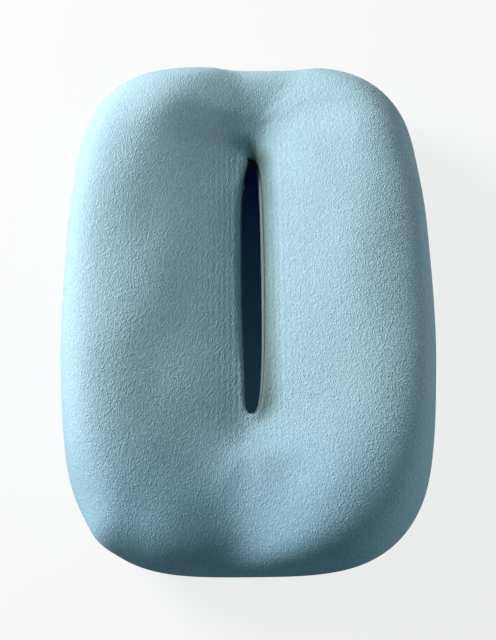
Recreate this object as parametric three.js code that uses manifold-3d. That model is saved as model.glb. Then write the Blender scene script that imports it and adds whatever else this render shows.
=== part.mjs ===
// Face cradle cushion: a moulded foam core with a breathing slot, in a liner and a zipped knit cover.
// Millimetres, +Z up. The origin is on the rest plane under the middle of the cushion. +Y is the
// forehead end. The slot, the crease beyond it and the trough at both ends are a little off centre.
import * as THREE from "three";
import { mergeVertices } from "three/addons/utils/BufferGeometryUtils.js";
import Module from "manifold-3d";

const wasm = await Module();
wasm.setup();

// ---------------------------------------------------------------- driving dimensions
const WIDTH = 300; // across both lobes, at the widest height
const LENGTH = 438; // forehead end to chin end
const CREST = 101.5; // top of the lobes above the rest plane
const SLOT = { length: 226, width: 17.5, x: 2.2, y: 16 }; // breathing slot, and the place of its middle
const COVER = 1.8; // plush knit
const LINER = 0.7; // stretch liner
const GAP = 0.4; // clearance between layers
const STRIP_THICK = 1.2; // loop strips, which the cushion rests on
const FLOOR = STRIP_THICK + 0.3; // outer face of the base panel

// Shape of the section from the slot out to the side.
const OUTLINE_ROUND = { chin: 3.55, forehead: 4.25 }; // superellipse powers of the plan outline's ends
const SLOT_ROUND = { chin: 2.7, forehead: 3.4 }; // and of the slot's ends
const WIDEST = 46; // height of the widest line
const CREST_INSET = { side: 46, chin: 60, forehead: 48, reach: 90 }; // from the widest line in to the crest
const CROWN_POWER = 2.9;
const BASE_INSET = 30; // from the widest line in to the flat base
const SLOPE_POWER = { slot: 1.3, chin: 2.2, forehead: 1.25 }; // how the top falls from the crest inwards
const LIP_RADIUS = 11; // roll of the cover into the slot
const TURN_RADIUS = 6; // roll of the slot's lower edge
const SLOT_RIM = { chin: 72, forehead: 67 }; // height of the top surface where it meets the slot

// Beyond the slot's tips the top is two lobes with a trough between them. A tongue rises out of the
// trough towards the forehead end, and a crease runs from the tongue into the slot.
const TROUGH = {
  round: 12,
  chinWiden: 22,
  chinFrom: [-15, 75], // where it widens and leans left, from the slot's near tip
  leanLeft: 13,
  leanRight: 16,
  leanLength: 46,
  shortestSlope: 40,
};
const CHIN_FILL = { share: 0.12, from: [100, 140] }; // the trough is a little shallower near the chin
const TONGUE = { slope: 0.48, start: 50, round: 7 };
const END_CROWN = { chin: { length: 150, power: 2.9 }, forehead: { length: 145, power: 2.75 } };
const END_BLEND = { from: 45, length: 55 }; // distances from the slot's middle
const CREASE = { depth: 13, x: 2, left: 7, right: 13, softness: 0.45, length: 26, lead: 42 };

// Zip, in a straight shallow recess of the base.
const ZIP = { x: 76, half: 135, tapeLevel: 8, tapeThick: 0.7, tapeWidth: 14.7, tapeEnd: 7 };
const COIL = { size: 2.4, split: 0.8, drop: 0.2, end: 3 };
const STOP = { top: 3.2, bottom: 4, bottomWidth: 6.8, proud: 0.3, fromEnd: 1 };
const RECESS = { ceiling: 6.2, topHalf: 15.5, mouthHalf: 20, end: 13, corner: 8, windowHalf: 6 };
const SLIDER = { length: 12, width: 8.4, plate: 1.2, play: 0.3, post: 0.9, flange: 0.5, travelEnd: 126 };
const BRIDGE = { length: 8, width: 2.2, height: 2.6, bar: 0.8 };
const PULL = { length: 22, width: 7, thick: 1.2, corner: 2.4, bar: 1.2, eyeLength: 4, eyeWidth: 3.2 };

// Fastenings of the base.
const STRIP = { width: 25, length: 240, x: 36, corner: 4, stitchInset: 2.2, groove: 1.5, grooveDepth: 0.8 };
const STITCH = { width: 0.9, thick: 0.45 };
const LABEL = { width: 30, length: 45, thick: 0.4, x: -82, y: 40, corner: 1.5 };

// ---------------------------------------------------------------- materials
function paint(color, roughness, metalness = 0) {
  return new THREE.MeshStandardMaterial({ color, roughness, metalness });
}


const PAINT = {
  plush: paint(0x9cc4d4, 0.95),
  lining: paint(0x7f9fab, 0.95),
  base: paint(0x86aab8, 0.92),
  thread: paint(0x5d7a86, 0.8),
  liner: paint(0xf0efe9, 0.95),
  foam: paint(0xf3ecd6, 1),
  tape: paint(0x8fb4c3, 0.85),
  coil: paint(0xa9c8d4, 0.45),
  nickel: paint(0xb9bcc0, 0.3, 0.9),
  loop: paint(0x7ba0b0, 1),
  label: paint(0xf4f4f0, 0.8),
};

// ---------------------------------------------------------------- solids and meshes
function solidOf(geometry) {
  const bare = geometry.clone();
  bare.deleteAttribute("normal");
  bare.deleteAttribute("uv");
  const merged = mergeVertices(bare, 1e-4);
  return new wasm.Manifold(
    new wasm.Mesh({
      numProp: 3,
      vertProperties: merged.attributes.position.array,
      triVerts: new Uint32Array(merged.index.array),
    }),
  );
}

function geometryOf(solid) {
  const { vertProperties, triVerts } = solid.getMesh();
  const geometry = new THREE.BufferGeometry();
  geometry.setAttribute("position", new THREE.BufferAttribute(vertProperties, 3));
  geometry.setIndex(new THREE.BufferAttribute(triVerts, 1));
  geometry.computeVertexNormals();
  return geometry;
}

function part(name, geometry, material, parent) {
  const mesh = new THREE.Mesh(geometry, material);
  mesh.name = name;
  parent.add(mesh);
  return mesh;
}

// ---------------------------------------------------------------- plan outlines
const signedPower = (value, power) => Math.sign(value) * Math.abs(value) ** power;

// A superellipse of the given half sizes, with its own power towards each end.
function roundedAt(angle, halfWidth, halfLength, round) {
  const power = 2 / (Math.sin(angle) > 0 ? round.forehead : round.chin);
  return new THREE.Vector2(
    halfWidth * signedPower(Math.cos(angle), power),
    halfLength * signedPower(Math.sin(angle), power),
  );
}

const outlineAt = (angle) => roundedAt(angle, WIDTH / 2, LENGTH / 2, OUTLINE_ROUND);

function slotAt(angle) {
  const point = roundedAt(angle, SLOT.width / 2, SLOT.length / 2, SLOT_ROUND);
  return point.add(new THREE.Vector2(SLOT.x, SLOT.y));
}

// Angles that step evenly along the outline, mirrored about both axes.
function evenAngles(perQuarter) {
  const FINE = 4000;
  const angles = [];
  for (let quarter = 0; quarter < 4; quarter++) {
    const start = (quarter * Math.PI) / 2;
    const lengths = [0];
    for (let i = 1; i <= FINE; i++) {
      const a = outlineAt(start + (Math.PI / 2) * ((i - 1) / FINE) + 1e-9);
      const b = outlineAt(start + (Math.PI / 2) * (i / FINE) - 1e-9);
      lengths.push(lengths[i - 1] + a.distanceTo(b));
    }
    for (let step = 0; step < perQuarter; step++) {
      const wanted = (lengths[FINE] * step) / perQuarter;
      const i = lengths.findIndex((length) => length >= wanted);
      angles.push(start + (Math.PI / 2) * (i / FINE));
    }
  }
  return angles;
}

const ANGLES = evenAngles(10);

// ---------------------------------------------------------------- the section round the slot
// A station runs once round the section: up the slot wall, over the lip, slope and crown, down the
// flank, along the base and round the slot's lower edge. Each zone is one unit of the station.
const STATIONS = { wall: 0, lip: 1, slope: 2, crown: 3, flank: 4, base: 5, turn: 6, end: 7 };
const ZONE_STEPS = [2, 2, 4, 4, 3, 2, 1];
const SEAM = 4.54; // the seam between top and base panels, low on the flank
const LIP_SEAM = 1.4; // the seam between the top panel and the slot's binding

// Height of the top surface along the slot, and of the trough beyond its tips.
function slotRimHeight(y) {
  const share = (y - SLOT.y) / SLOT.length + 0.5;
  return THREE.MathUtils.lerp(SLOT_RIM.chin, SLOT_RIM.forehead, THREE.MathUtils.smoothstep(share, 0, 1));
}

function crestInset(outer) {
  const middle = Math.exp(-((outer.x / CREST_INSET.reach) ** 2));
  const atEnd = outer.y > 0 ? CREST_INSET.forehead : CREST_INSET.chin;
  return THREE.MathUtils.lerp(CREST_INSET.side, atEnd, middle);
}

// Rises from the slot, steeply at first, to one at the crest.
const slopeShare = (share, power) => 1 - (1 - Math.min(share, 1)) ** power;

// Falls from one at the crest to nothing at the edge, as a superellipse.
function crownShare(share, power) {
  return (1 - (1 - THREE.MathUtils.clamp(share, 0, 1)) ** power) ** (1 / power);
}

// How far the outline reaches along one axis, at a place on the other.
function outlineReach(place, half, acrossHalf, power) {
  return half * (1 - Math.min(Math.abs(place) / acrossHalf, 1) ** power) ** (1 / power);
}

// Height of the lobes and the trough in plan, without the rounding of the sides and ends.
function troughHeight(x, y, sideReach) {
  const tip = SLOT.y + SLOT.length / 2;
  const floor = slotRimHeight(y);
  const toChin = THREE.MathUtils.smoothstep(SLOT.y - SLOT.length / 2 - y, ...TROUGH.chinFrom);
  const toForehead = THREE.MathUtils.smoothstep(y - tip, 0, TROUGH.leanLength);
  const round = TROUGH.round + TROUGH.chinWiden * toChin;
  const aside = x - SLOT.x + TROUGH.leanLeft * toChin - TROUGH.leanRight * toForehead;
  const slope = Math.max(sideReach - CREST_INSET.side - SLOT.width / 2, TROUGH.shortestSlope);
  const { slot: base, chin, forehead } = SLOPE_POWER;
  const power = base + (chin - base) * toChin + (forehead - base) * toForehead;
  const fill = CHIN_FILL.share * THREE.MathUtils.smoothstep(-y, ...CHIN_FILL.from);
  const short = 1 - slopeShare((Math.hypot(aside, round) - round) / slope, power);
  const lobes = CREST - (CREST - floor) * (1 - fill) * short;
  const tongue = SLOT_RIM.forehead + TONGUE.slope * (y - tip - TONGUE.start);
  return Math.min((lobes + tongue + Math.hypot(lobes - tongue, TONGUE.round)) / 2, CREST);
}

function topHeight(x, y) {
  const power = y > 0 ? OUTLINE_ROUND.forehead : OUTLINE_ROUND.chin;
  const end = y > 0 ? END_CROWN.forehead : END_CROWN.chin;
  const sideReach = outlineReach(y, WIDTH / 2, LENGTH / 2, power);
  const endReach = outlineReach(x, LENGTH / 2, WIDTH / 2, power);
  const side = crownShare((sideReach - Math.abs(x)) / CREST_INSET.side, CROWN_POWER);
  const rounding = side * crownShare((endReach - Math.abs(y)) / end.length, end.power);
  return WIDEST + (troughHeight(x, y, sideReach) - WIDEST) * rounding;
}

// How much of the height at a station comes from the shape in plan: all of it beyond the tips.
function planShare(y, station) {
  if (station >= STATIONS.flank) return 0;
  const beyond = (Math.abs(y - SLOT.y) - END_BLEND.from) / END_BLEND.length;
  return THREE.MathUtils.smoothstep(beyond, 0, 1) * THREE.MathUtils.smoothstep(station - STATIONS.lip, 0, 1);
}

// Depth of the crease between the lobes, deepest at the slot's forehead tip.
function creaseDepth(x, y) {
  const beyond = y - SLOT.y - SLOT.length / 2;
  const aside = x - SLOT.x - CREASE.x;
  const width = aside > 0 ? CREASE.right : CREASE.left;
  const across = Math.exp(CREASE.softness - Math.hypot(aside / width, CREASE.softness));
  const arrive = THREE.MathUtils.smoothstep(beyond / CREASE.lead + 1, 0, 1);
  return CREASE.depth * across * arrive * (1 - THREE.MathUtils.smoothstep(beyond / CREASE.length, 0, 1));
}

// The crease lowers the whole slope and the top of the slot wall, and fades down the crown.
function creaseShare(station, height) {
  if (station < STATIONS.lip) return station;
  if (station < STATIONS.crown) return 1;
  const fadeHeight = 0.3 * WIDEST;
  return station < STATIONS.flank ? THREE.MathUtils.smoothstep((height - WIDEST) / fadeHeight, 0, 1) : 0;
}

// Distance from the slot wall and height, at a station of the section that leaves the slot at angle.
function sectionAt(station, reach, inset, rim) {
  const zone = Math.min(Math.floor(station), 6);
  const turn = ((station - zone) * Math.PI) / 2;
  const share = station - zone;
  const slope = reach - inset;
  const top = (out) => rim + (CREST - rim) * slopeShare(out / slope, SLOPE_POWER.slot);
  const curve = 2 / CROWN_POWER;
  switch (zone) {
    case STATIONS.wall:
      return [0, THREE.MathUtils.lerp(FLOOR + TURN_RADIUS, rim - LIP_RADIUS, share)];
    case STATIONS.lip: {
      const out = LIP_RADIUS * (1 - Math.cos(turn));
      return [out, top(out) - LIP_RADIUS * (1 - Math.sin(turn))];
    }
    case STATIONS.slope: {
      const out = THREE.MathUtils.lerp(LIP_RADIUS, slope, share);
      return [out, top(out)];
    }
    case STATIONS.crown:
      return [
        slope + inset * Math.sin(turn) ** curve,
        WIDEST + (CREST - WIDEST) * Math.cos(turn) ** curve,
      ];
    case STATIONS.flank:
      return [
        reach - BASE_INSET * (1 - Math.cos(turn)),
        FLOOR + (WIDEST - FLOOR) * (1 - Math.sin(turn)),
      ];
    case STATIONS.base:
      return [THREE.MathUtils.lerp(reach - BASE_INSET, TURN_RADIUS, share), FLOOR];
    default:
      return [TURN_RADIUS * (1 - Math.sin(turn)), FLOOR + TURN_RADIUS * (1 - Math.cos(turn))];
  }
}

function skinAt(angle, station) {
  const wrapped = ((station % STATIONS.end) + STATIONS.end) % STATIONS.end;
  const inner = slotAt(angle);
  const outer = outlineAt(angle);
  const across = outer.clone().sub(inner);
  const reach = across.length();
  const rim = slotRimHeight(inner.y);
  const [out, sectionHeight] = sectionAt(wrapped, reach, crestInset(outer), rim);
  const plan = inner.add(across.multiplyScalar(out / reach));
  const share = planShare(plan.y, wrapped);
  const height = sectionHeight + (topHeight(plan.x, plan.y) - sectionHeight) * share;
  const crease = creaseDepth(plan.x, plan.y) * creaseShare(wrapped, height);
  return new THREE.Vector3(plan.x, plan.y, height - crease);
}

// A point at a depth under the outer skin, measured along the skin's own normal.
function layerAt(angle, station, depth) {
  const STEP = 2e-3;
  const alongSection = skinAt(angle, station + STEP).sub(skinAt(angle, station - STEP));
  const aroundSlot = skinAt(angle + STEP, station).sub(skinAt(angle - STEP, station));
  const inward = alongSection.cross(aroundSlot).normalize().negate();
  return skinAt(angle, station).addScaledVector(inward, depth);
}

// The stations from one to another, stopping at every step of the section on the way.
function stationsBetween(from, to) {
  const steps = ZONE_STEPS.flatMap((count, zone) =>
    Array.from({ length: count }, (_, i) => zone + i / count),
  );
  const twice = [...steps, ...steps.map((station) => station + STATIONS.end)];
  return [from, ...twice.filter((station) => station > from + 0.02 && station < to - 0.02), to];
}

// A closed solid from a loop of points that travels round the slot. Each four-sided face is split
// along its shorter diagonal, so that layers lying on each other are split alike.
function sweepRound(loopAt) {
  const loops = ANGLES.map(loopAt);
  const count = loops[0].length;
  const index = [];
  loops.forEach((loop, i) => {
    const nextLoop = loops[(i + 1) % loops.length];
    const near = i * count;
    const far = ((i + 1) % loops.length) * count;
    for (let j = 0; j < count; j++) {
      const k = (j + 1) % count;
      if (loop[j].distanceTo(nextLoop[k]) < loop[k].distanceTo(nextLoop[j]))
        index.push(near + j, far + j, far + k, near + j, far + k, near + k);
      else index.push(near + j, far + j, near + k, far + j, far + k, near + k);
    }
  });
  const geometry = new THREE.BufferGeometry();
  const position = loops.flat().flatMap((point) => point.toArray());
  geometry.setAttribute("position", new THREE.Float32BufferAttribute(position, 3));
  geometry.setIndex(index);
  geometry.computeVertexNormals();
  return geometry;
}

// A layer of fabric between two stations, from one depth to another.
function panel(from, to, outerDepth, innerDepth) {
  const stations = stationsBetween(from, to);
  const back = [...stations].reverse();
  return sweepRound((angle) => [
    ...back.map((station) => layerAt(angle, station, outerDepth)),
    ...stations.map((station) => layerAt(angle, station, innerDepth)),
  ]);
}

// A cord or thread that follows one station at a depth.
function cord(station, depth, radius) {
  const SIDES = 6;
  return sweepRound((angle) => {
    const centre = layerAt(angle, station, depth);
    const inward = layerAt(angle, station, depth + 1).sub(centre);
    const along = skinAt(angle, station + 1e-3).sub(skinAt(angle, station - 1e-3)).normalize();
    return Array.from({ length: SIDES }, (_, i) => {
      const turn = (i / SIDES) * 2 * Math.PI;
      return centre
        .clone()
        .addScaledVector(inward, radius * Math.cos(turn))
        .addScaledVector(along, radius * Math.sin(turn));
    });
  });
}

// ---------------------------------------------------------------- straight pieces
function roundedShape(halfWidth, halfLength, radius, path = new THREE.Shape()) {
  const x = halfWidth - radius;
  const y = halfLength - radius;
  path.moveTo(halfWidth, -y);
  path.lineTo(halfWidth, y);
  path.absarc(x, y, radius, 0, Math.PI / 2);
  path.absarc(-x, y, radius, Math.PI / 2, Math.PI);
  path.absarc(-x, -y, radius, Math.PI, 1.5 * Math.PI);
  path.absarc(x, -y, radius, 1.5 * Math.PI, 2 * Math.PI);
  return path;
}

// A rounded plate between two heights.
function plate(halfWidth, halfLength, radius, from, to, hole = null) {
  const shape = roundedShape(halfWidth, halfLength, radius);
  if (hole) shape.holes.push(hole);
  const options = { depth: to - from, bevelEnabled: false, curveSegments: 4 };
  return new THREE.ExtrudeGeometry(shape, options).translate(0, 0, from);
}

function frame(halfWidth, halfLength, radius, line, from, to) {
  const hole = roundedShape(halfWidth - line, halfLength - line, radius - line, new THREE.Path());
  return plate(halfWidth, halfLength, radius, from, to, hole);
}

function box(x0, x1, y0, y1, z0, z1) {
  const geometry = new THREE.BoxGeometry(x1 - x0, y1 - y0, z1 - z0);
  return geometry.translate((x0 + x1) / 2, (y0 + y1) / 2, (z0 + z1) / 2);
}

// The hollow over the zip, at a distance outside the recess of the base panel: a plate whose lower
// edge spreads out to the recess's mouth.
function recess(distance) {
  const halfLength = ZIP.half + RECESS.end + distance;
  const ceiling = RECESS.ceiling + distance;
  const spread = RECESS.mouthHalf - RECESS.topHalf;
  const top = plate(RECESS.topHalf + distance, halfLength, RECESS.corner, ceiling - 1, ceiling);
  const mouth = plate(RECESS.mouthHalf + distance, halfLength + spread, RECESS.corner, FLOOR - 1, FLOOR);
  return wasm.Manifold.hull([solidOf(top), solidOf(mouth)]).translate(ZIP.x, 0, 0);
}

// ---------------------------------------------------------------- foam and fabric
const LINER_DEPTH = COVER + GAP;
const CORE_DEPTH = LINER_DEPTH + LINER + GAP;
const LINER_RECESS = 4.8; // clears the zip's tapes and the slider's inner plate

function foamCore() {
  const stations = stationsBetween(0, STATIONS.end).slice(0, -1).reverse();
  const core = sweepRound((angle) => stations.map((station) => layerAt(angle, station, CORE_DEPTH)));
  return geometryOf(solidOf(core).subtract(recess(LINER_RECESS + LINER + GAP)));
}

// The liner's last seam runs half way down the slot wall and is left open here.
function innerLiner() {
  const skin = solidOf(panel(0.56, STATIONS.end + 0.44, LINER_DEPTH, LINER_DEPTH + LINER));
  const raised = skin.add(recess(LINER_RECESS + LINER)).subtract(recess(LINER_RECESS));
  const belowLiner = solidOf(box(0, WIDTH, -LENGTH, LENGTH, -20, FLOOR + LINER_DEPTH));
  return geometryOf(raised.subtract(belowLiner));
}

// The base panel dips up into the recess and stops short of the zip's coils.
function basePanel() {
  const skin = solidOf(panel(SEAM + 0.02, 5.93, 0, COVER));
  const window = plate(RECESS.windowHalf, ZIP.half + 4, RECESS.windowHalf, 0, 20).translate(ZIP.x, 0, 0);
  const below = solidOf(box(0, WIDTH, -LENGTH, LENGTH, -20, FLOOR));
  const dipped = skin.add(recess(COVER)).subtract(recess(0)).subtract(below);
  return geometryOf(dipped.subtract(solidOf(window)));
}

function addSoftGoods(cushion) {
  part("foam_core", foamCore(), PAINT.foam, cushion);
  part("inner_liner", innerLiner(), PAINT.liner, cushion);
  part("cover_top_panel", panel(LIP_SEAM + 0.06, SEAM - 0.02, 0, COVER), PAINT.plush, cushion);
  part("cover_base_panel", basePanel(), PAINT.base, cushion);
  part("perimeter_seam_cord", cord(SEAM, 0.9, 0.6), PAINT.thread, cushion);
  part("slot_lip_binding", panel(0.95, LIP_SEAM - 0.06, 0, COVER), PAINT.lining, cushion);
  part("slot_seam_thread", cord(LIP_SEAM, 0.8, 0.32), PAINT.thread, cushion);
  part("slot_lining", panel(0.02, 0.93, 0, COVER), PAINT.lining, cushion);
  part("base_slot_binding", panel(5.95, 6.8, 0, COVER), PAINT.thread, cushion);
}

// ---------------------------------------------------------------- loop strips and label
function addLoopStrip(side, x, cushion) {
  const place = new THREE.Group();
  place.position.set(x, 0, 0);
  cushion.add(place);
  const half = STRIP.width / 2 - STRIP.stitchInset;
  const halfLength = STRIP.length / 2 - STRIP.stitchInset;
  const corner = STRIP.corner - 1;
  const strip = solidOf(plate(STRIP.width / 2, STRIP.length / 2, STRIP.corner, 0, STRIP_THICK));
  const groove = frame(half, halfLength, corner, STRIP.groove, -1, STRIP.grooveDepth);
  part(`loop_strip_${side}`, geometryOf(strip.subtract(solidOf(groove))), PAINT.loop, place);
  const inset = (STRIP.groove - STITCH.width) / 2;
  const stitch = frame(half - inset, halfLength - inset, corner - inset, STITCH.width, 0, STITCH.thick);
  part(`loop_stitch_${side}`, stitch, PAINT.thread, place).position.z = 0.05;
}

function addBaseFastenings(cushion) {
  addLoopStrip("left", -STRIP.x, cushion);
  addLoopStrip("right", STRIP.x, cushion);
  const label = plate(LABEL.width / 2, LABEL.length / 2, LABEL.corner, -LABEL.thick, 0);
  part("care_label", label, PAINT.label, cushion).position.set(LABEL.x, LABEL.y, FLOOR - 0.3);
}

// ---------------------------------------------------------------- zip
// Heights below are from the outer face of the tapes, which look down. The coils hang under it.
const COIL_X = COIL.split + COIL.size / 2;
const COIL_FLOOR = -COIL.drop - COIL.size;
const STOP_FLOOR = COIL_FLOOR - STOP.proud;

function addZipSide(side, sign, zip) {
  const half = ZIP.tapeWidth / 2;
  const tapeEnd = ZIP.half + ZIP.tapeEnd;
  const tape = box(-half, half, -tapeEnd, tapeEnd, 0, ZIP.tapeThick);
  part(`zip_tape_${side}`, tape, PAINT.tape, zip).position.x = sign * (COIL.split + half);

  const coil = plate(COIL.size / 2, ZIP.half - COIL.end, 0.8, COIL_FLOOR, -COIL.drop);
  part(`zip_coil_${side}`, coil, PAINT.coil, zip).position.x = sign * COIL_X;

  const stop = plate(COIL.size / 2, STOP.top / 2, 0.5, STOP_FLOOR, -COIL.drop);
  const stopPart = part(`zip_top_stop_${side}`, stop, PAINT.nickel, zip);
  stopPart.position.set(sign * COIL_X, ZIP.half - STOP.fromEnd, 0);

  // The stitch line lies under the base panel, beside its window.
  const stitch = plate(STITCH.width / 2, ZIP.half + 4, 0.4, -STITCH.thick, 0);
  const stitchPart = part(`zip_stitch_${side}`, stitch, PAINT.thread, zip);
  stitchPart.position.set(sign * (RECESS.windowHalf + 3.5), 0, RECESS.ceiling - ZIP.tapeLevel - 0.3);
}

function addZip(cushion) {
  const zip = new THREE.Group();
  zip.position.set(ZIP.x, 0, ZIP.tapeLevel);
  cushion.add(zip);
  addZipSide("inner", -1, zip);
  addZipSide("outer", 1, zip);
  const bottomStop = plate(STOP.bottomWidth / 2, STOP.bottom / 2, 0.8, STOP_FLOOR, -COIL.drop);
  part("zip_bottom_stop", bottomStop, PAINT.nickel, zip).position.y = -ZIP.half + 0.6;
  const slider = new THREE.Group();
  slider.position.y = SLIDER.travelEnd;
  zip.add(slider);
  part("zip_slider", sliderBody(), PAINT.nickel, slider);
  part("zip_pull", pullTab(), PAINT.nickel, slider).position.z = PULL_PIVOT;
}

// The slider's two plates ride over and under the tapes.
const OUTER_PLATE = STOP_FLOOR; // top of the plate that shows
const INNER_PLATE = ZIP.tapeThick + SLIDER.play; // bottom of the plate inside the cover
const BRIDGE_TOP = OUTER_PLATE - SLIDER.plate;
const PULL_PIVOT = BRIDGE_TOP - (BRIDGE.height - BRIDGE.bar) / 2;

// A plate with round shoulders at the closing end and a narrower tail.
function sliderPlate(from) {
  const SHOULDER = 2.2;
  const TAIL = 0.8;
  const TAPER = 1;
  const x = SLIDER.width / 2;
  const y = SLIDER.length / 2;
  const outline = new THREE.Shape();
  outline.moveTo(-x, y - SHOULDER);
  outline.absarc(-x + SHOULDER, y - SHOULDER, SHOULDER, Math.PI, Math.PI / 2, true);
  outline.absarc(x - SHOULDER, y - SHOULDER, SHOULDER, Math.PI / 2, 0, true);
  outline.lineTo(x - TAPER, -y + TAIL);
  outline.absarc(x - TAPER - TAIL, -y + TAIL, TAIL, 0, -Math.PI / 2, true);
  outline.absarc(-x + TAPER + TAIL, -y + TAIL, TAIL, -Math.PI / 2, -Math.PI, true);
  const options = { depth: SLIDER.plate, bevelEnabled: false, curveSegments: 4 };
  return solidOf(new THREE.ExtrudeGeometry(outline, options).translate(0, 0, from));
}

// The arch under the outer plate that holds the pull.
function sliderBridge() {
  const x = BRIDGE.width / 2;
  const y = BRIDGE.length / 2;
  const bottom = BRIDGE_TOP - BRIDGE.height;
  const block = solidOf(box(-x, x, -y, y, bottom, BRIDGE_TOP + SLIDER.plate / 2));
  const opening = box(-x - 1, x + 1, -y + BRIDGE.bar, y - BRIDGE.bar, bottom + BRIDGE.bar, BRIDGE_TOP);
  return block.subtract(solidOf(opening));
}

// A post between the coils joins the plates, and a flange at each side keeps the coils together.
function sliderBody() {
  const y = SLIDER.length / 2;
  const bite = SLIDER.plate / 2;
  const post = box(-SLIDER.post / 2, SLIDER.post / 2, y - 5, y - 1, OUTER_PLATE - bite, INNER_PLATE + bite);
  const inside = COIL_X + COIL.size / 2 + 0.45;
  const flange = (from) => solidOf(box(from, from + SLIDER.flange, -1.5, y - 2.5, OUTER_PLATE - bite, -0.9));
  const pieces = [sliderPlate(INNER_PLATE), solidOf(post), flange(inside), flange(-inside - SLIDER.flange)];
  const outer = sliderPlate(OUTER_PLATE - SLIDER.plate).add(sliderBridge());
  return geometryOf(pieces.reduce((whole, piece) => whole.add(piece), outer));
}

// The pull's cross-bar lies under the bridge, and its eye goes round the bridge's foot.
function pullTab() {
  const tab = plate(PULL.width / 2, PULL.length / 2, PULL.corner, -PULL.thick / 2, PULL.thick / 2);
  tab.translate(0, (PULL.bar - PULL.length) / 2, 0);
  const x = PULL.eyeWidth / 2;
  const eye = box(-x, x, -PULL.bar / 2 - PULL.eyeLength, -PULL.bar / 2, -PULL.thick, PULL.thick);
  return geometryOf(solidOf(tab).subtract(solidOf(eye)));
}

const cushion = new THREE.Group();
cushion.name = "face_cradle_cushion";
addSoftGoods(cushion);
addBaseFastenings(cushion);
addZip(cushion);

export default cushion;
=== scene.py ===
import math

import bmesh
import bpy
import numpy as np
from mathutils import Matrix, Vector, geometry


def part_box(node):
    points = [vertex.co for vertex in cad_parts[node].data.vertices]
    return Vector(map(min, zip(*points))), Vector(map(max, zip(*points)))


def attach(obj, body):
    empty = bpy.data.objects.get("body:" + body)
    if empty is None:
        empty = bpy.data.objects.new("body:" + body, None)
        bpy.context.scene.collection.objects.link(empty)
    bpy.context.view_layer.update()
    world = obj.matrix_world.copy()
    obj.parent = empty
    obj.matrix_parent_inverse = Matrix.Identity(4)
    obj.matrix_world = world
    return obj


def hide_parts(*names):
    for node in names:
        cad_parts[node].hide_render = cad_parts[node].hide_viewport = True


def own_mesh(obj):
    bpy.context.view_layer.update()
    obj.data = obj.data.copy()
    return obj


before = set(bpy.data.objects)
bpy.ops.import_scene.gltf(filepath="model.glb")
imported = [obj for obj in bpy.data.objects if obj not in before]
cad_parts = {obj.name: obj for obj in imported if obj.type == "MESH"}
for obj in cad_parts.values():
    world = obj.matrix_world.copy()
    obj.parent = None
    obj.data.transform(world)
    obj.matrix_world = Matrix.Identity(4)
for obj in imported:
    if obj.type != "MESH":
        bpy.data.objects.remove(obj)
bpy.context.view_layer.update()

# Face cradle cushion: plush cover over foam, with a breathing slot, on a zipped base.
# Metres, in the frame of the CAD part: +Y is the forehead end, +Z is up out of the face side.

MM = 0.001

# ---------------- sizes
TOP_LO, TOP_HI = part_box("cover_top_panel")
SLOT_LO, SLOT_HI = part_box("slot_lining")
COVER = 1.8 * MM  # plush knit
HALF_WIDTH = (TOP_HI.x - TOP_LO.x) / 2
HALF_LENGTH = (TOP_HI.y - TOP_LO.y) / 2
CREST = TOP_HI.z
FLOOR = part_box("cover_base_panel")[0].z
SLOT_X = (SLOT_LO.x + SLOT_HI.x) / 2
SLOT_HALF_WIDTH = (SLOT_HI.x - SLOT_LO.x) / 2 - COVER
SLOT_Y = (SLOT_LO.y + SLOT_HI.y) / 2
SLOT_HALF_LENGTH = (SLOT_HI.y - SLOT_LO.y) / 2 - COVER

# The section from the slot out to the side, as in the CAD part.
OUTLINE_ROUND = (3.55, 4.25)  # superellipse powers towards the chin and towards the forehead
SLOT_ROUND = (2.7, 3.4)
WIDEST = 46 * MM  # height of the widest line
INSET_SIDE = 46 * MM  # from the widest line in to the crest
INSET_CHIN = 60 * MM
INSET_FOREHEAD = 48 * MM
INSET_REACH = 90 * MM
CROWN_POWER = 2.9
BASE_INSET = 30 * MM  # from the widest line in to the flat base
SLOPE_POWER = 1.3  # how the top falls from the crest in to the slot, and beyond its two tips
SLOPE_POWER_CHIN = 2.2
SLOPE_POWER_FOREHEAD = 1.25
LIP_RADIUS = 11 * MM
TURN_RADIUS = 6 * MM
RIM_CHIN = 72 * MM  # height of the top where it meets the slot
RIM_FOREHEAD = 67 * MM

# The top beyond the slot's tips: two lobes with a trough between them, and a tongue that rises out
# of the trough towards the forehead end.
TROUGH_ROUND = 12 * MM
TROUGH_WIDENS = 22 * MM  # towards the chin end, where the trough also leans left
TROUGH_CHIN_FROM = -15 * MM
TROUGH_CHIN_LENGTH = 90 * MM
TROUGH_LEAN_LEFT = 13 * MM
TROUGH_LEAN_RIGHT = 16 * MM  # towards the forehead end
TROUGH_LEAN_LENGTH = 46 * MM
CHIN_FILL = 0.12  # share of the trough that is filled towards the chin end
FILL_FROM = 100 * MM
FILL_LENGTH = 40 * MM
SHORTEST_SLOPE = 40 * MM
TONGUE_SLOPE = 0.48
TONGUE_START = 50 * MM
TONGUE_ROUND = 7 * MM
END_LENGTH = (150 * MM, 145 * MM)  # how far in the top starts to fall, at the chin and the forehead
END_POWER = (2.9, 2.75)
ENDS_FROM = 45 * MM  # where the top's shape in plan starts to take over, from the slot's middle
ENDS_BLEND = 55 * MM

# The crease that runs into the slot's forehead tip.
CREASE_DEPTH = 13 * MM
CREASE_X = 2 * MM
CREASE_LEFT = 7 * MM  # half widths
CREASE_RIGHT = 13 * MM
CREASE_SOFTNESS = 0.45
CREASE_LENGTH = 26 * MM
CREASE_LEAD = 42 * MM
CREASE_FADE = 0.3 * WIDEST  # height over which it fades on the crown
CREST_PASSES = 16  # how much the padding rounds the crest over
CREST_FADES = ((1.7, 2.2), (3.4, 4.0))  # stations over which that sets in and stops

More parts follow.
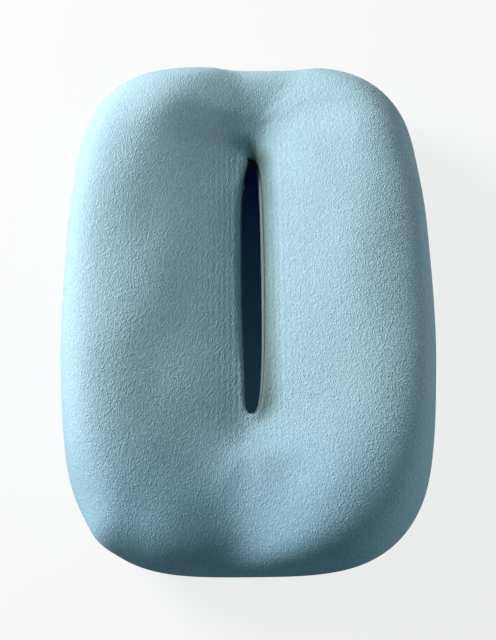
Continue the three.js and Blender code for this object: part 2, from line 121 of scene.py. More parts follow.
# ---------------- the skin as a grid
# Rows run round the slot by angle, columns run round the section by station. Each zone of the
# section is one unit of the station: wall, lip, slope, crown, flank, base, turn.
ROWS = 480
ZONE_COLUMNS = [22, 10, 34, 30, 24, 32, 6]
LIP_START = 1
CROWN_START = 3
FLANK_START = 4
BASE_START = 5
TURN_START = 6
STATION_END = 7
SEAM = 4.54  # station of the seam round the foot
LIP_SEAM = 1.4  # station of the seam between the plush and the slot's lip

# How far round the section each zone starts, and where the last one stops.
ZONE_LENGTHS = np.array([0, 55, 66, 120, 190, 249, 349, 358]) * MM


def signed_power(value, power):
    return np.sign(value) * np.abs(value) ** power


def by_end(far, at_chin, at_forehead):
    return np.where(far, at_forehead, at_chin)


def rounded(angle, half_x, half_y, powers):
    """A superellipse with its own power towards each end."""
    power = 2 / by_end(np.sin(angle) > 0, *powers)
    x = half_x * signed_power(np.cos(angle), power)
    y = half_y * signed_power(np.sin(angle), power)
    return np.stack([x, y], -1)


def even_angles(count):
    """Angles that step evenly along the plan outline."""
    fine = np.linspace(0, 2 * np.pi, 40001)
    steps = np.linalg.norm(np.diff(rounded(fine, HALF_WIDTH, HALF_LENGTH, OUTLINE_ROUND), axis=0), axis=1)
    length = np.concatenate([[0], np.cumsum(steps)])
    return np.interp(np.arange(count) / count * length[-1], length, fine)


def unit(vectors):
    return vectors / np.maximum(np.linalg.norm(vectors, axis=-1, keepdims=True), 1e-12)


def smooth(share):
    share = np.clip(share, 0, 1)
    return share * share * (3 - 2 * share)


def section(station, reach, inset, rim):
    """Distance out from the slot wall, and height, at each station."""
    zone = np.minimum(np.floor(station), TURN_START)
    share = station - zone
    turn = share * np.pi / 2
    slope = reach - inset

    def top(out):
        return rim + (CREST - rim) * (1 - (1 - np.minimum(out / slope, 1)) ** SLOPE_POWER)

    def mix(a, b):
        return a + (b - a) * share

    curve = 2 / CROWN_POWER
    lip = LIP_RADIUS * (1 - np.cos(turn))
    on_slope = mix(LIP_RADIUS, slope)
    sine = np.abs(np.sin(turn)) ** curve
    cosine = np.abs(np.cos(turn)) ** curve
    one = np.ones_like(station * reach)
    zones = [(zone == index) * one > 0 for index in range(STATION_END)]
    out = [
        0 * one,
        lip * one,
        on_slope,
        slope + inset * sine,
        reach - BASE_INSET * (1 - np.cos(turn)),
        mix(reach - BASE_INSET, TURN_RADIUS),
        TURN_RADIUS * (1 - np.sin(turn)) * one,
    ]
    height = [
        mix(FLOOR + TURN_RADIUS, rim - LIP_RADIUS) * one,
        top(lip) - LIP_RADIUS * (1 - np.sin(turn)),
        top(on_slope),
        WIDEST + (CREST - WIDEST) * cosine * one,
        FLOOR + (WIDEST - FLOOR) * (1 - np.sin(turn)) * one,
        FLOOR * one,
        FLOOR + TURN_RADIUS * (1 - np.cos(turn)) * one,
    ]
    return np.select(zones, out), np.select(zones, height)


def skin_points(angles, stations):
    """The outer skin, as an array of rows, columns and xyz."""
    inner = rounded(angles, SLOT_HALF_WIDTH, SLOT_HALF_LENGTH, SLOT_ROUND) + [SLOT_X, SLOT_Y]
    outer = rounded(angles, HALF_WIDTH, HALF_LENGTH, OUTLINE_ROUND)
    across = outer - inner
    reach = np.linalg.norm(across, axis=1)[:, None]
    far = outer[:, 1:] > 0
    rim = rim_height(inner[:, 1:])
    middle = np.exp(-((outer[:, :1] / INSET_REACH) ** 2))
    inset = INSET_SIDE + (by_end(far, INSET_CHIN, INSET_FOREHEAD) - INSET_SIDE) * middle
    out, height = section(stations[None, :], reach, inset, rim)
    plan = inner[:, None, :] + across[:, None, :] * (out / reach)[..., None]
    x, y = plan[..., 0], plan[..., 1]
    on_top = smooth(stations - LIP_START) * (stations < FLANK_START)
    share = smooth((np.abs(y - SLOT_Y) - ENDS_FROM) / ENDS_BLEND) * on_top[None, :]
    height = height + (top_height(x, y) - height) * share
    height = height - crease(x, y) * crease_share(stations[None, :], height)
    return rounded_crest(np.concatenate([plan, height[..., None]], -1), stations)


def rim_height(y):
    """Height of the top surface along the slot, and of the trough beyond its tips."""
    return RIM_CHIN + (RIM_FOREHEAD - RIM_CHIN) * smooth((y - SLOT_Y) / (2 * SLOT_HALF_LENGTH) + 0.5)


def crown(share, power):
    """Falls from one at the crest to nothing at the edge, as a superellipse."""
    return (1 - (1 - np.clip(share, 0, 1)) ** power) ** (1 / power)


def outline_reach(across, half_across, half_along, far):
    """How far the outline reaches at a distance across, from its middle line."""
    power = by_end(far, *OUTLINE_ROUND)
    return half_along * (1 - np.minimum(np.abs(across) / half_across, 1) ** power) ** (1 / power)


def top_height(x, y):
    """Height of the top in plan: lobes beside a trough, rounded off towards the sides and ends."""
    far = y > 0
    side = outline_reach(y, HALF_LENGTH, HALF_WIDTH, far)
    beyond = y - SLOT_Y - SLOT_HALF_LENGTH
    to_chin = smooth((SLOT_Y - SLOT_HALF_LENGTH - y - TROUGH_CHIN_FROM) / TROUGH_CHIN_LENGTH)
    to_forehead = smooth(beyond / TROUGH_LEAN_LENGTH)
    lean = TROUGH_LEAN_LEFT * to_chin - TROUGH_LEAN_RIGHT * to_forehead
    round_off = TROUGH_ROUND + TROUGH_WIDENS * to_chin
    slope = np.maximum(side - INSET_SIDE - SLOT_HALF_WIDTH, SHORTEST_SLOPE)
    aside = (np.hypot(x - SLOT_X + lean, round_off) - round_off) / slope
    floor = rim_height(y)
    power = SLOPE_POWER + (SLOPE_POWER_CHIN - SLOPE_POWER) * to_chin
    power = power + (SLOPE_POWER_FOREHEAD - SLOPE_POWER) * to_forehead
    fill = CHIN_FILL * smooth((-y - FILL_FROM) / FILL_LENGTH)
    lobes = CREST - (CREST - floor) * (1 - fill) * (1 - np.minimum(aside, 1)) ** power
    tongue = RIM_FOREHEAD + TONGUE_SLOPE * (beyond - TONGUE_START)
    top = np.minimum((lobes + tongue + np.hypot(lobes - tongue, TONGUE_ROUND)) / 2, CREST)
    to_end = outline_reach(x, HALF_WIDTH, HALF_LENGTH, far) - np.abs(y)
    end = crown(to_end / by_end(far, *END_LENGTH), by_end(far, *END_POWER))
    return WIDEST + (top - WIDEST) * crown((side - np.abs(x)) / INSET_SIDE, CROWN_POWER) * end


def faded(stations, rise, fall):
    """One between two fades, each from its first station to its last."""
    up = smooth((stations - rise[0]) / (rise[1] - rise[0]))
    return up * (1 - smooth((stations - fall[0]) / (fall[1] - fall[0])))


def rounded_crest(points, stations):
    """Smooths the section where the slope meets the crown."""
    share = faded(stations, *CREST_FADES)
    for _ in range(CREST_PASSES):
        between = (np.roll(points, 1, 1) + np.roll(points, -1, 1)) / 2
        points = points + (between - points) / 2 * share[None, :, None]
    return points


def crease_share(station, height):
    """The crease lowers the whole slope and the top of the wall, and fades down the crown."""
    on_wall = station * (station < LIP_START)
    on_slope = (station >= LIP_START) & (station < CROWN_START)
    on_crown = smooth((height - WIDEST) / CREASE_FADE) * ((station >= CROWN_START) & (station < FLANK_START))
    return on_wall + on_slope + on_crown


def crease(x, y):
    """Depth of the crease between the lobes, deepest at the slot's forehead tip."""
    beyond = y - SLOT_Y - SLOT_HALF_LENGTH
    off = x - SLOT_X - CREASE_X
    width = np.where(off > 0, CREASE_RIGHT, CREASE_LEFT)
    across = np.exp(CREASE_SOFTNESS - np.hypot(off / width, CREASE_SOFTNESS))
    return CREASE_DEPTH * across * smooth(beyond / CREASE_LEAD + 1) * (1 - smooth(beyond / CREASE_LENGTH))


def station_line(per_zone):
    steps = [zone + np.arange(count) / count for zone, count in enumerate(per_zone)]
    return np.concatenate(steps)


class Skin:
    """A closed grid of points round the section and round the slot."""

    def __init__(self, angles, stations, points):
        self.angles = angles
        self.stations = stations
        self.points = points

    def normals(self):
        around = np.roll(self.points, -1, 0) - np.roll(self.points, 1, 0)
        along = np.roll(self.points, -1, 1) - np.roll(self.points, 1, 1)
        normal = np.cross(along, around)
        return normal / np.linalg.norm(normal, axis=-1, keepdims=True)

    def sample(self, field, stations):
        """A field of the grid at any stations, wrapping round the section."""
        wrapped = np.mod(stations, STATION_END)
        place = np.interp(wrapped, np.append(self.stations, STATION_END), np.arange(len(self.stations) + 1))
        low = np.floor(place).astype(int)
        share = (place - low)[None, :, None]
        count = len(self.stations)
        return field[:, low % count] * (1 - share) + field[:, (low + 1) % count] * share


# ---------------- meshes
def add_object(name, data):
    made = bpy.data.objects.new(name, data)
    bpy.context.scene.collection.objects.link(made)
    return made


def plain_mesh(name, vertices, faces):
    mesh = bpy.data.meshes.new(name)
    mesh.from_pydata(np.asarray(vertices).tolist(), [], faces)
    return mesh


def make_mesh(name, vertices, faces, material, slot, replaces=None):
    """A piece of the cushion, in place of the CAD part it replaces, if any."""
    mesh = plain_mesh(name, vertices, faces.tolist() if isinstance(faces, np.ndarray) else faces)
    mesh.materials.append(material)
    mesh.validate()
    mesh.shade_smooth()
    piece = add_object(name, mesh)
    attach(piece, "cushion")
    if replaces:
        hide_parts(replaces)
    return piece


def ring_faces(rows, columns):
    """Quads of a grid whose rows and columns both close on themselves."""
    i = np.arange(rows)[:, None]
    j = np.arange(columns)[None, :]
    k = (j + 1) % columns
    after = (i + 1) % rows
    quads = [i * columns + j, after * columns + j, after * columns + k, i * columns + k]
    return np.stack(np.broadcast_arrays(*quads), -1).reshape(-1, 4)


def mark_edges(piece):
    piece.data.set_sharp_from_angle(angle=math.radians(50))


def face_out(piece):
    """Turns the faces of each closed body outwards."""
    work = bmesh.new()
    work.from_mesh(piece.data)
    bmesh.ops.recalc_face_normals(work, faces=work.faces)
    work.to_mesh(piece.data)
    work.free()
    return piece


def swept(name, loops, material, slot, **options):
    """A closed solid from one closed loop of points in each row."""
    rows, columns = loops.shape[:2]
    faces = ring_faces(rows, columns)
    points = loops.reshape(-1, 3)
    a, b, c, d = (points[faces[:, n]] for n in range(4))
    volume = np.einsum("ij,ij->i", a, np.cross(b, c)).sum() + np.einsum("ij,ij->i", a, np.cross(c, d)).sum()
    if volume < 0:
        faces = faces[:, ::-1]
    return make_mesh(name, points, faces, material, slot, **options)


def spread(start, stop, count):
    """Stations that stand closer together near both ends, where a panel turns into its seam."""
    share = np.linspace(0, 1, count)
    share = 0.5 * share + 0.25 * (1 - np.cos(np.pi * share))
    return start + (stop - start) * share


def rolled(stations, radius):
    """Depth of a panel's outer face, which rolls over into the seam at its two cut edges."""
    reach = np.interp(stations, np.arange(len(ZONE_LENGTHS)), ZONE_LENGTHS)
    from_edge = np.minimum(reach - reach[0], reach[-1] - reach)
    return radius * (1 - np.sqrt(1 - np.clip(1 - from_edge / radius, 0, 1) ** 2))


def shell(name, stations, outer_depth, inner_depth, material, slot, over_zip=None, **options):
    """A layer of fabric between two depths under the skin. over_zip lifts it over the zip's recess."""
    points = skin.sample(skin.points, stations)
    normals = skin.sample(skin.normals(), stations)
    outer = points - normals * np.atleast_2d(outer_depth)[..., None]
    inner = points - normals * np.atleast_2d(inner_depth)[..., None]
    if over_zip is not None:
        lift_over_zip(outer, over_zip)
        lift_over_zip(inner, over_zip + inner_depth - outer_depth)
    loops = np.concatenate([outer, inner[:, ::-1]], 1)
    piece = swept(name, loops, material, slot, **options)
    mark_edges(piece)


def tubes(name, paths, radii, sides, material, slot, up=(0, 0, 1), **options):
    """One piece of many round threads. paths holds a line of points for each thread."""
    paths = np.asarray(paths)
    count, steps = paths.shape[:2]
    along = unit(np.gradient(paths, axis=1))
    aside = unit(np.cross(along, np.broadcast_to(up, paths.shape)))
    rise = np.cross(aside, along)
    turn = np.arange(sides) / sides * 2 * np.pi
    spokes = aside[..., None, :] * np.cos(turn)[:, None] + rise[..., None, :] * np.sin(turn)[:, None]
    points = paths[..., None, :] + spokes * np.reshape(radii, (-1, 1, 1))
    first = np.arange(count)[:, None, None] * steps * sides
    step = np.arange(steps - 1)[None, :, None] * sides
    side = np.arange(sides)[None, None, :]
    beside = (side + 1) % sides
    ring = first + step
    corners = [ring + side, ring + beside, ring + sides + beside, ring + sides + side]
    quads = np.stack(np.broadcast_arrays(*corners), -1).reshape(-1, 4).tolist()
    starts = first.ravel().tolist()
    last = (steps - 1) * sides
    caps = [list(range(start, start + sides))[::-1] for start in starts]
    caps += [list(range(start + last, start + last + sides)) for start in starts]
    return face_out(make_mesh(name, points.reshape(-1, 3), quads + caps, material, slot, **options))


def along_line(line, places):
    """Points at the given distances along a line of points."""
    steps = np.linalg.norm(np.diff(line[:, :3], axis=0), axis=1)
    length = np.concatenate([[0], np.cumsum(steps)])
    return np.stack([np.interp(places, length, line[:, n]) for n in range(line.shape[1])], -1), length[-1]


DOWN = (0.0, 0.0, -1.0)
STITCH_TAPER = np.array([0.6, 0.95, 1, 1, 0.95, 0.6])
STITCH_LENGTH = 0.78  # share of the pitch
STITCH_ARCH = 1.3  # times the thread's thickness


def stitches(name, line, normals, pitch, size, sink, material=None, **options):
    """Separate arched stitches along a line. size is the thread's thickness, sink its depth in the cloth."""
    both = np.concatenate([line, np.broadcast_to(normals, line.shape)], 1)
    total = along_line(both, [0])[1]
    count = int(round(total / pitch))
    share = np.linspace(0, 1, len(STITCH_TAPER))
    places = (np.arange(count)[:, None] + 0.5 + (share - 0.5) * STITCH_LENGTH) * total / count
    found = along_line(both, places.ravel())[0].reshape(count, len(share), -1)
    arch = np.sin(np.pi * share)[None, :, None] * size * STITCH_ARCH
    paths = found[..., :3] + unit(found[..., 3:]) * (arch - sink)
    return tubes(name, paths, size / 2 * STITCH_TAPER, 6, material or CORD, "thread", **options)


def sheet(name, points, thickness, material, slot, **options):
    """A closed sheet of cloth from a grid of points on its lower face."""
    rows, columns = points.shape[:2]
    front = points.reshape(-1, 3)
    back = front + [0, 0, thickness]
    index = np.arange(rows * columns).reshape(rows, columns)
    quads = np.stack([index[:-1, :-1], index[1:, :-1], index[1:, 1:], index[:-1, 1:]], -1).reshape(-1, 4)
    edge = np.concatenate([index[:-1, 0], index[-1, :-1], index[:0:-1, -1], index[0, :0:-1]])
    after = np.roll(edge, -1)
    far = rows * columns
    rim = np.stack([edge, after, after + far, edge + far], -1)
    faces = np.concatenate([quads, quads[:, ::-1] + far, rim])
    return face_out(make_mesh(name, np.concatenate([front, back]), faces, material, slot, **options))


# ---------------- materials
def node(tree, kind, values=None, **settings):
    """A shader node, whose values are numbers or other nodes' outputs."""
    made = tree.nodes.new("ShaderNode" + kind)
    for key, value in settings.items():
        setattr(made, key, value)
    for key, value in (values or {}).items():
        socket = made.inputs[key]
        if isinstance(value, bpy.types.NodeSocket):
            tree.links.new(value, socket)
        else:
            socket.default_value = value
    return made


def new_material(name):
    material = bpy.data.materials.new(name)
    material.use_nodes = True
    tree = material.node_tree
    tree.nodes.clear()
    return material, tree


def place_node(tree):
    return node(tree, "TexCoord").outputs["Object"]


def noise(tree, place, scale, detail=2.0, roughness=0.5):
    values = {"Vector": place, "Scale": scale, "Detail": detail, "Roughness": roughness}
    return node(tree, "TexNoise", values).outputs["Fac"]


def math_node(tree, operation, a, b=0.0):
    return node(tree, "Math", {0: a, 1: b}, operation=operation).outputs[0]


def total(tree, value, *others):
    for other in others:
        value = math_node(tree, "ADD", value, other)
    return value


def product(tree, a, b):
    return math_node(tree, "MULTIPLY", a, b)


def away_from(tree, value, middle):
    """How far a value lies from a middle, on either side."""
    return math_node(tree, "ABSOLUTE", math_node(tree, "SUBTRACT", value, middle))


def axes(tree, place):
    return node(tree, "SeparateXYZ", {"Vector": place}).outputs


def openness(tree, distance):
    """How little stands in the way within a distance."""
    return node(tree, "AmbientOcclusion", {"Distance": distance}, samples=6).outputs["AO"]


def ribs(tree, place, width, values):
    """Bands side by side along X, for the wales of a knit."""
    settings = {"Vector": place, "Scale": 1 / (width * 2 * math.pi), **values}
    return node(tree, "TexWave", settings, bands_direction="X").outputs["Fac"]


def remap(tree, value, low, high, to_low=0.0, to_high=1.0):
    values = {"Value": value, "From Min": low, "From Max": high, "To Min": to_low, "To Max": to_high}
    return node(tree, "MapRange", values).outputs["Result"]


def mix_colour(tree, share, a, b, blend="MIX"):
    made = node(tree, "Mix", data_type="RGBA", blend_type=blend)
    for socket, value in ((0, share), (6, a), (7, b)):
        if isinstance(value, bpy.types.NodeSocket):
            tree.links.new(value, made.inputs[socket])
        else:
            made.inputs[socket].default_value = value if socket == 0 else (*value, 1)
    return made.outputs[2]


def surface(tree, colour, height, bump, distance, **values):
    """A Principled surface with a bump, as the material's output."""
    normal = node(tree, "Bump", {"Height": height, "Strength": bump, "Distance": distance})
    settings = {"Base Color": colour, "Normal": normal.outputs["Normal"], **values}
    shader = node(tree, "BsdfPrincipled", settings)
    node(tree, "OutputMaterial", {"Surface": shader.outputs[0]})


PLUSH_BRIGHT = (0.50, 0.73, 0.80)
PLUSH_DEEP = (0.34, 0.55, 0.63)
PLUSH_PATCH = (0.33, 0.55, 0.60)
# Painted highlight on the tips of the pills.
PILL_HIGHLIGHT = (0.84, 0.96, 1.0)
PLUSH_HOLLOW = (0.15, 0.22, 0.22)
# Painted shade right of the slot, beside its edge, where the left lobe shadows the cloth.
SLOT_EDGE_SHADE_TINT = (0.36, 0.37, 0.30)  # right of the slot, beside its edge
# Painted shade: the plush is multiplied darker and bluer towards the chin end.
CHIN_SHADE_TINT = (0.84, 0.96, 1.03)
TUFTS = 700  # tufts in a metre
WARP = 0.9 * MM  # how far tufts stray from their rows
WALE = 2.2 * MM
PILE = 0.55 * MM
PLUSH_SHINE = {
    "Roughness": 0.95,
    "Sheen Weight": 0.3,
    "Sheen Roughness": 0.3,
    "Sheen Tint": (1.0, 0.98, 1.0, 1),
    "Specular IOR Level": 0.15,
}


def slot_distance(tree, axis):
    """Distance in plan outside the slot's opening."""
    aside = away_from(tree, axis["X"], SLOT_X)
    ahead = away_from(tree, axis["Y"], SLOT_Y)
    beyond = math_node(tree, "SUBTRACT", ahead, SLOT_HALF_LENGTH - SLOT_HALF_WIDTH)
    beyond = math_node(tree, "MAXIMUM", beyond, 0.0)
    squares = total(tree, product(tree, aside, aside), product(tree, beyond, beyond))
    return math_node(tree, "SUBTRACT", math_node(tree, "SQRT", squares), SLOT_HALF_WIDTH)


def warped(tree, place):
    """The place, shifted a little in all directions."""
    warp = node(tree, "TexNoise", {"Vector": place, "Scale": 300.0, "Detail": 2.0}).outputs["Color"]
    shift = node(tree, "VectorMath", {0: warp, 1: (0.5, 0.5, 0.5)}, operation="SUBTRACT").outputs[0]
    shift = node(tree, "VectorMath", {0: shift, "Scale": WARP}, operation="SCALE").outputs[0]
    return node(tree, "VectorMath", {0: place, 1: shift}).outputs[0]


def plush_colour(tree, axis, tone, pill, patch, from_slot):
    """The tufts' colours with painted highlights on the pills, then painted shade: beside the slot's right
    edge, in hollows, and darker and bluer towards the chin end.
    """
    colour = mix_colour(tree, tone, PLUSH_DEEP, PLUSH_BRIGHT)
    colour = mix_colour(tree, remap(tree, patch, 0.35, 0.7, 0.0, 0.16), colour, PLUSH_PATCH)
    colour = mix_colour(tree, product(tree, pill, 0.8), colour, PILL_HIGHLIGHT)
    # Painted shade: the cloth right of the slot is darkened to grey-green towards the slot's edge.
    right = remap(tree, axis["X"], SLOT_X - 2 * MM, SLOT_X + 6 * MM)
    slot_edge_shade = product(tree, remap(tree, from_slot, 15 * MM, 3 * MM), right)
    colour = mix_colour(tree, slot_edge_shade, colour, SLOT_EDGE_SHADE_TINT, "MULTIPLY")
    hollow = remap(tree, openness(tree, 22 * MM), 0.80, 0.35)
    colour = mix_colour(tree, product(tree, hollow, 0.22), colour, PLUSH_HOLLOW)
    # Painted shade: darker and bluer towards the chin end.
    to_chin = remap(tree, axis["Y"], -0.4 * HALF_LENGTH, -0.9 * HALF_LENGTH)
    return mix_colour(tree, to_chin, colour, CHIN_SHADE_TINT, "MULTIPLY")


def plush_material():
    """Brushed knit: pebbled pile with pills and a soft sheen, and fine wales near the slot."""
    material, tree = new_material("plush")
    place = place_node(tree)
    axis = axes(tree, place)
    bent = warped(tree, place)
    turned = {"Vector": bent, "Scale": (1, 0.72, 1), "Rotation": (0, 0, -0.5)}
    tilted = node(tree, "Mapping", turned).outputs["Vector"]
    values = {"Vector": tilted, "Scale": TUFTS, "Smoothness": 0.6}
    tuft = node(tree, "TexVoronoi", values, feature="SMOOTH_F1").outputs
    dome = remap(tree, tuft["Distance"], 0.55, 0.05)
    lot = node(tree, "SeparateColor", {"Color": tuft["Color"]}).outputs
    from_slot = slot_distance(tree, axis)

    # A few tufts stand up as pills, and their tips get a painted highlight where they catch the light.
    pill = product(tree, remap(tree, lot[1], 0.86, 0.95), remap(tree, dome, 0.3, 0.8))
    parts = [
        product(tree, dome, remap(tree, lot[0], 0, 1, 0.45, 1.0)),
        product(tree, noise(tree, tilted, 330, 3, 0.6), 0.7),
        product(tree, noise(tree, place, 1500, 2, 0.6), 0.25),
        product(tree, pill, 0.5),
        product(tree, ribs(tree, bent, WALE, {}), remap(tree, from_slot, 38 * MM, 8 * MM, 0.0, 0.28)),
    ]
    tone = total(tree, product(tree, dome, 0.5), product(tree, lot[2], 0.5))
    patch = noise(tree, place, 26, 2, 0.5)
    colour = plush_colour(tree, axis, tone, pill, patch, from_slot)
    relief = remap(tree, axis["Y"], -0.9 * HALF_LENGTH, -0.45 * HALF_LENGTH, 0.52, 0.8)
    surface(tree, colour, total(tree, *parts), relief, PILE, **PLUSH_SHINE)
    return material


RIB_WANDER = {"Distortion": 1.2, "Detail": 2.0, "Detail Scale": 40.0}


def knit_material(name, dark, light, across=0.9 * MM, sheen=0.2, hollow=None, glow=None):
    """Fine rib knit, for the lip, lining and base. hollow is its colour where little light reaches, as
    painted shade; glow is a faint painted light it gives off.
    """
    material, tree = new_material(name)
    place = place_node(tree)
    grain = noise(tree, place, 900, 2)
    rib = ribs(tree, place, across, RIB_WANDER)
    tone = total(tree, product(tree, rib, 0.5), product(tree, grain, 0.5))
    colour = mix_colour(tree, tone, dark, light)
    if hollow:
        colour = mix_colour(tree, remap(tree, openness(tree, 18 * MM), 0.6, 0.3), colour, hollow)
    values = {"Roughness": 0.9, "Sheen Weight": sheen, "Specular IOR Level": 0.2}
    if glow:
        values.update({"Emission Color": (*glow, 1), "Emission Strength": 1.0})
    surface(tree, colour, tone, 0.5, 0.4 * MM, **values)
    return material


def plain_material(name, dark, light, scale, roughness, bump=0.3, distance=0.2 * MM, **values):
    values = {key.replace("_", " "): value for key, value in values.items()}
    material, tree = new_material(name)
    grain = noise(tree, place_node(tree), scale, 3)
    colour = mix_colour(tree, remap(tree, grain, 0.3, 0.7), dark, light)
    surface(tree, colour, grain, bump, distance, Roughness=roughness, **values)
    return material


PLUSH = plush_material()
LIP = knit_material("lip_knit", (0.16, 0.22, 0.23), (0.28, 0.36, 0.37), hollow=(0.02, 0.05, 0.09))
# The slot wall's knit is near black navy, as painted shade deep in the slot, and it gives off a faint blue
# glow of painted light.
LINING_GLOW = (0.0005, 0.002, 0.012)
LINING = knit_material("lining_knit", (0.010, 0.03, 0.09), (0.025, 0.07, 0.15), sheen=0.05, glow=LINING_GLOW)
BASE = knit_material("base_knit", (0.20, 0.32, 0.38), (0.32, 0.46, 0.52))
THREAD = plain_material("thread", (0.05, 0.08, 0.10), (0.12, 0.18, 0.21), 3000, 0.7)
LINER = knit_material("liner_knit", (0.62, 0.61, 0.58), (0.80, 0.79, 0.75))
FOAM = plain_material("foam", (0.72, 0.66, 0.50), (0.86, 0.80, 0.66), 700, 0.9, 0.5, 0.6 * MM)
BINDING = knit_material("binding_knit", (0.05, 0.09, 0.12), (0.12, 0.18, 0.22), 0.7 * MM)
CORD = plain_material("cord", (0.22, 0.36, 0.42), (0.36, 0.52, 0.58), 2500, 0.75, Sheen_Weight=0.3)
TAPE = knit_material("tape_weave", (0.22, 0.38, 0.46), (0.36, 0.54, 0.62), 0.5 * MM)
COIL = plain_material("coil", (0.34, 0.52, 0.60), (0.42, 0.60, 0.68), 900, 0.35, 0.1)
LOOP_TAPE = knit_material("loop_tape", (0.18, 0.29, 0.35), (0.26, 0.38, 0.44), 0.6 * MM)
LOOP = plain_material("loop_pile", (0.30, 0.46, 0.53), (0.42, 0.58, 0.64), 1500, 0.8, Sheen_Weight=0.4)
LABEL = knit_material("label_satin", (0.80, 0.80, 0.78), (0.90, 0.90, 0.88), 0.35 * MM)
NICKEL = plain_material("nickel", (0.5, 0.5, 0.52), (0.6, 0.6, 0.62), 300, 0.3, Metallic=1.0)


# ---------------- cloth simulation of the cover
SIM_FRAMES = 20
SIM_SHRUNK = 2 * MM  # the pad swells, so it starts smaller
SIM_CAP = 5 * MM
SIM_SMOOTHING = 14
CLOTH = {
    "vertex_group_mass": "hold",
    "pin_stiffness": 0.4,
    "quality": 5,
    "mass": 0.3,
    "tension_stiffness": 8,
    "compression_stiffness": 8,
    "bending_stiffness": 2,
    "use_pressure": True,
    "uniform_pressure_force": 4,
    "shrink_min": 0.02,
    "tension_damping": 25,
    "compression_damping": 25,
    "bending_damping": 5,
    "air_damping": 6,
}


def held(stations):
    """How firmly each station is held: the base and slot wall stay, the padded top is free to swell."""
    marks = [0, 0.9, 2.4, 3.0, 4.0, 4.9, 7]
    return np.interp(stations, marks, [1, 1, 0.15, 0.1, 0.15, 1, 1])


def inflate(start, hold):
    """Blows a closed grid up as cloth, and returns where its points come to rest."""
    rows, columns = start.shape[:2]
    pad = add_object("sim", plain_mesh("sim", start.reshape(-1, 3), ring_faces(rows, columns).tolist()))
    group = pad.vertex_groups.new(name="hold")
    for column, weight in enumerate(hold):
        group.add([row * columns + column for row in range(rows)], float(weight), "REPLACE")
    cloth = pad.modifiers.new("cloth", "CLOTH")
    for key, value in CLOTH.items():
        setattr(cloth.settings, key, value)
    cloth.settings.effector_weights.gravity = 0
    cloth.point_cache.frame_end = SIM_FRAMES
    for step in range(1, SIM_FRAMES + 1):
        bpy.context.scene.frame_set(step)
    done = pad.evaluated_get(bpy.context.evaluated_depsgraph_get()).to_mesh()
    moved = np.zeros(rows * columns * 3)
    done.vertices.foreach_get("co", moved)
    bpy.data.objects.remove(pad)
    bpy.context.scene.frame_set(1)
    return moved.reshape(rows, columns, 3)


def simulate(skin):
    """How far cloth moves every second row and column of the skin.

    The cushion keeps its size: the average swelling of each station is taken out again, and the foam
    under the cover smooths out small ripples.
    """
    coarse = skin.points[::2, ::2]
    normals = skin.normals()[::2, ::2]
    hold = held(skin.stations[::2])
    start = coarse - normals * (SIM_SHRUNK * (1 - hold))[None, :, None]
    move = inflate(start, hold) - coarse
    swelling = np.einsum("ijk,ijk->ij", move, normals)
    move = move - swelling.mean(0)[None, :, None] * normals
    for _ in range(SIM_SMOOTHING):
        for axis in (0, 1):
            move = (2 * move + np.roll(move, 1, axis) + np.roll(move, -1, axis)) / 4
    move = move * (1 - hold)[None, :, None]
    far = np.linalg.norm(move, axis=-1, keepdims=True)
    return move * np.minimum(1, SIM_CAP / np.maximum(far, 1e-9))


def doubled(field):
    """A coarse field on twice the rows and columns, with each new point between its neighbours."""
    for axis in (0, 1):
        beside = field + np.roll(field, -1, axis)
        beyond = np.roll(field, 1, axis) + np.roll(field, -2, axis)
        shape = list(field.shape)
        shape[axis] *= 2
        field = np.stack([field, (9 * beside - beyond) / 16], axis + 1).reshape(shape)
    return field


# ---------------- sculpting
OVERHANG = 4.2 * MM  # the left lobe leans over the slot
TIP_OVERHANG = 3 * MM
LOBE_EDGE = (1.65, 0.6)  # middle and width of the leaning edge, in stations
TIP_EDGE = (1.7, 0.6)
LOW_LEAN = 0.2  # share of the lean that is left at the chin end
PUCKER = 0.9 * MM
PUCKER_WAVES = (34, 47, 61, 83, 109)  # gathers round the foot, mixed
PUCKER_STOP = 4.95  # the flat base stays flat
DITCH = 1.6 * MM  # the seam round the foot lies this deep
DITCH_WIDTH = 0.035
SWELL_FADES = ((1.6, 2.0), (3.7, 4.0))
WRINKLE_SPAN = (1.6, 3.6)
BANK = 0.45  # a wrinkle's raised banks, as a share of its depth
BANK_WIDTH = 2.4

# Bumps and dents in the plan, in millimetres: x, y, rise, radius.
SWELLS = [(-112, -192, 5.0, 20), (-84, -176, -1.5, 20), (-62, 158, 1.5, 30)]

# Creases in the plan, in millimetres: start, stop, depth, half width.
WRINKLES = [
    ((14, 168), (38, 184), 0.5, 2.2),
    ((18, 160), (42, 175), 0.3, 2.2),
    ((16, 177), (36, 191), 0.35, 2.2),
]


def hill(value, middle, width):
    return np.exp(-(((value - middle) / width) ** 2))


def overhang(skin):
    """Moves the left lobe's edge over the slot, most at its forehead half."""
    y = skin.points[..., 1]
    left = np.clip(-np.cos(skin.angles) * 1.6 + 0.35, 0, 1)[:, None]
    share = np.clip((y - SLOT_Y) / SLOT_HALF_LENGTH, -1, 1)
    lobe = LOW_LEAN + (1 - LOW_LEAN) * smooth((share + 1.05) / 0.35)
    near_tip = hill(share, 0.93, 0.16)
    rise = hill(skin.stations[None, :], *LOBE_EDGE)
    skin.points[..., 0] += (OVERHANG * lobe + TIP_OVERHANG * near_tip) * left * rise
    tip = np.clip(np.sin(skin.angles) * 4 - 3, 0, 1)[:, None]
    skin.points[..., 1] -= TIP_OVERHANG * tip * hill(skin.stations[None, :], *TIP_EDGE)


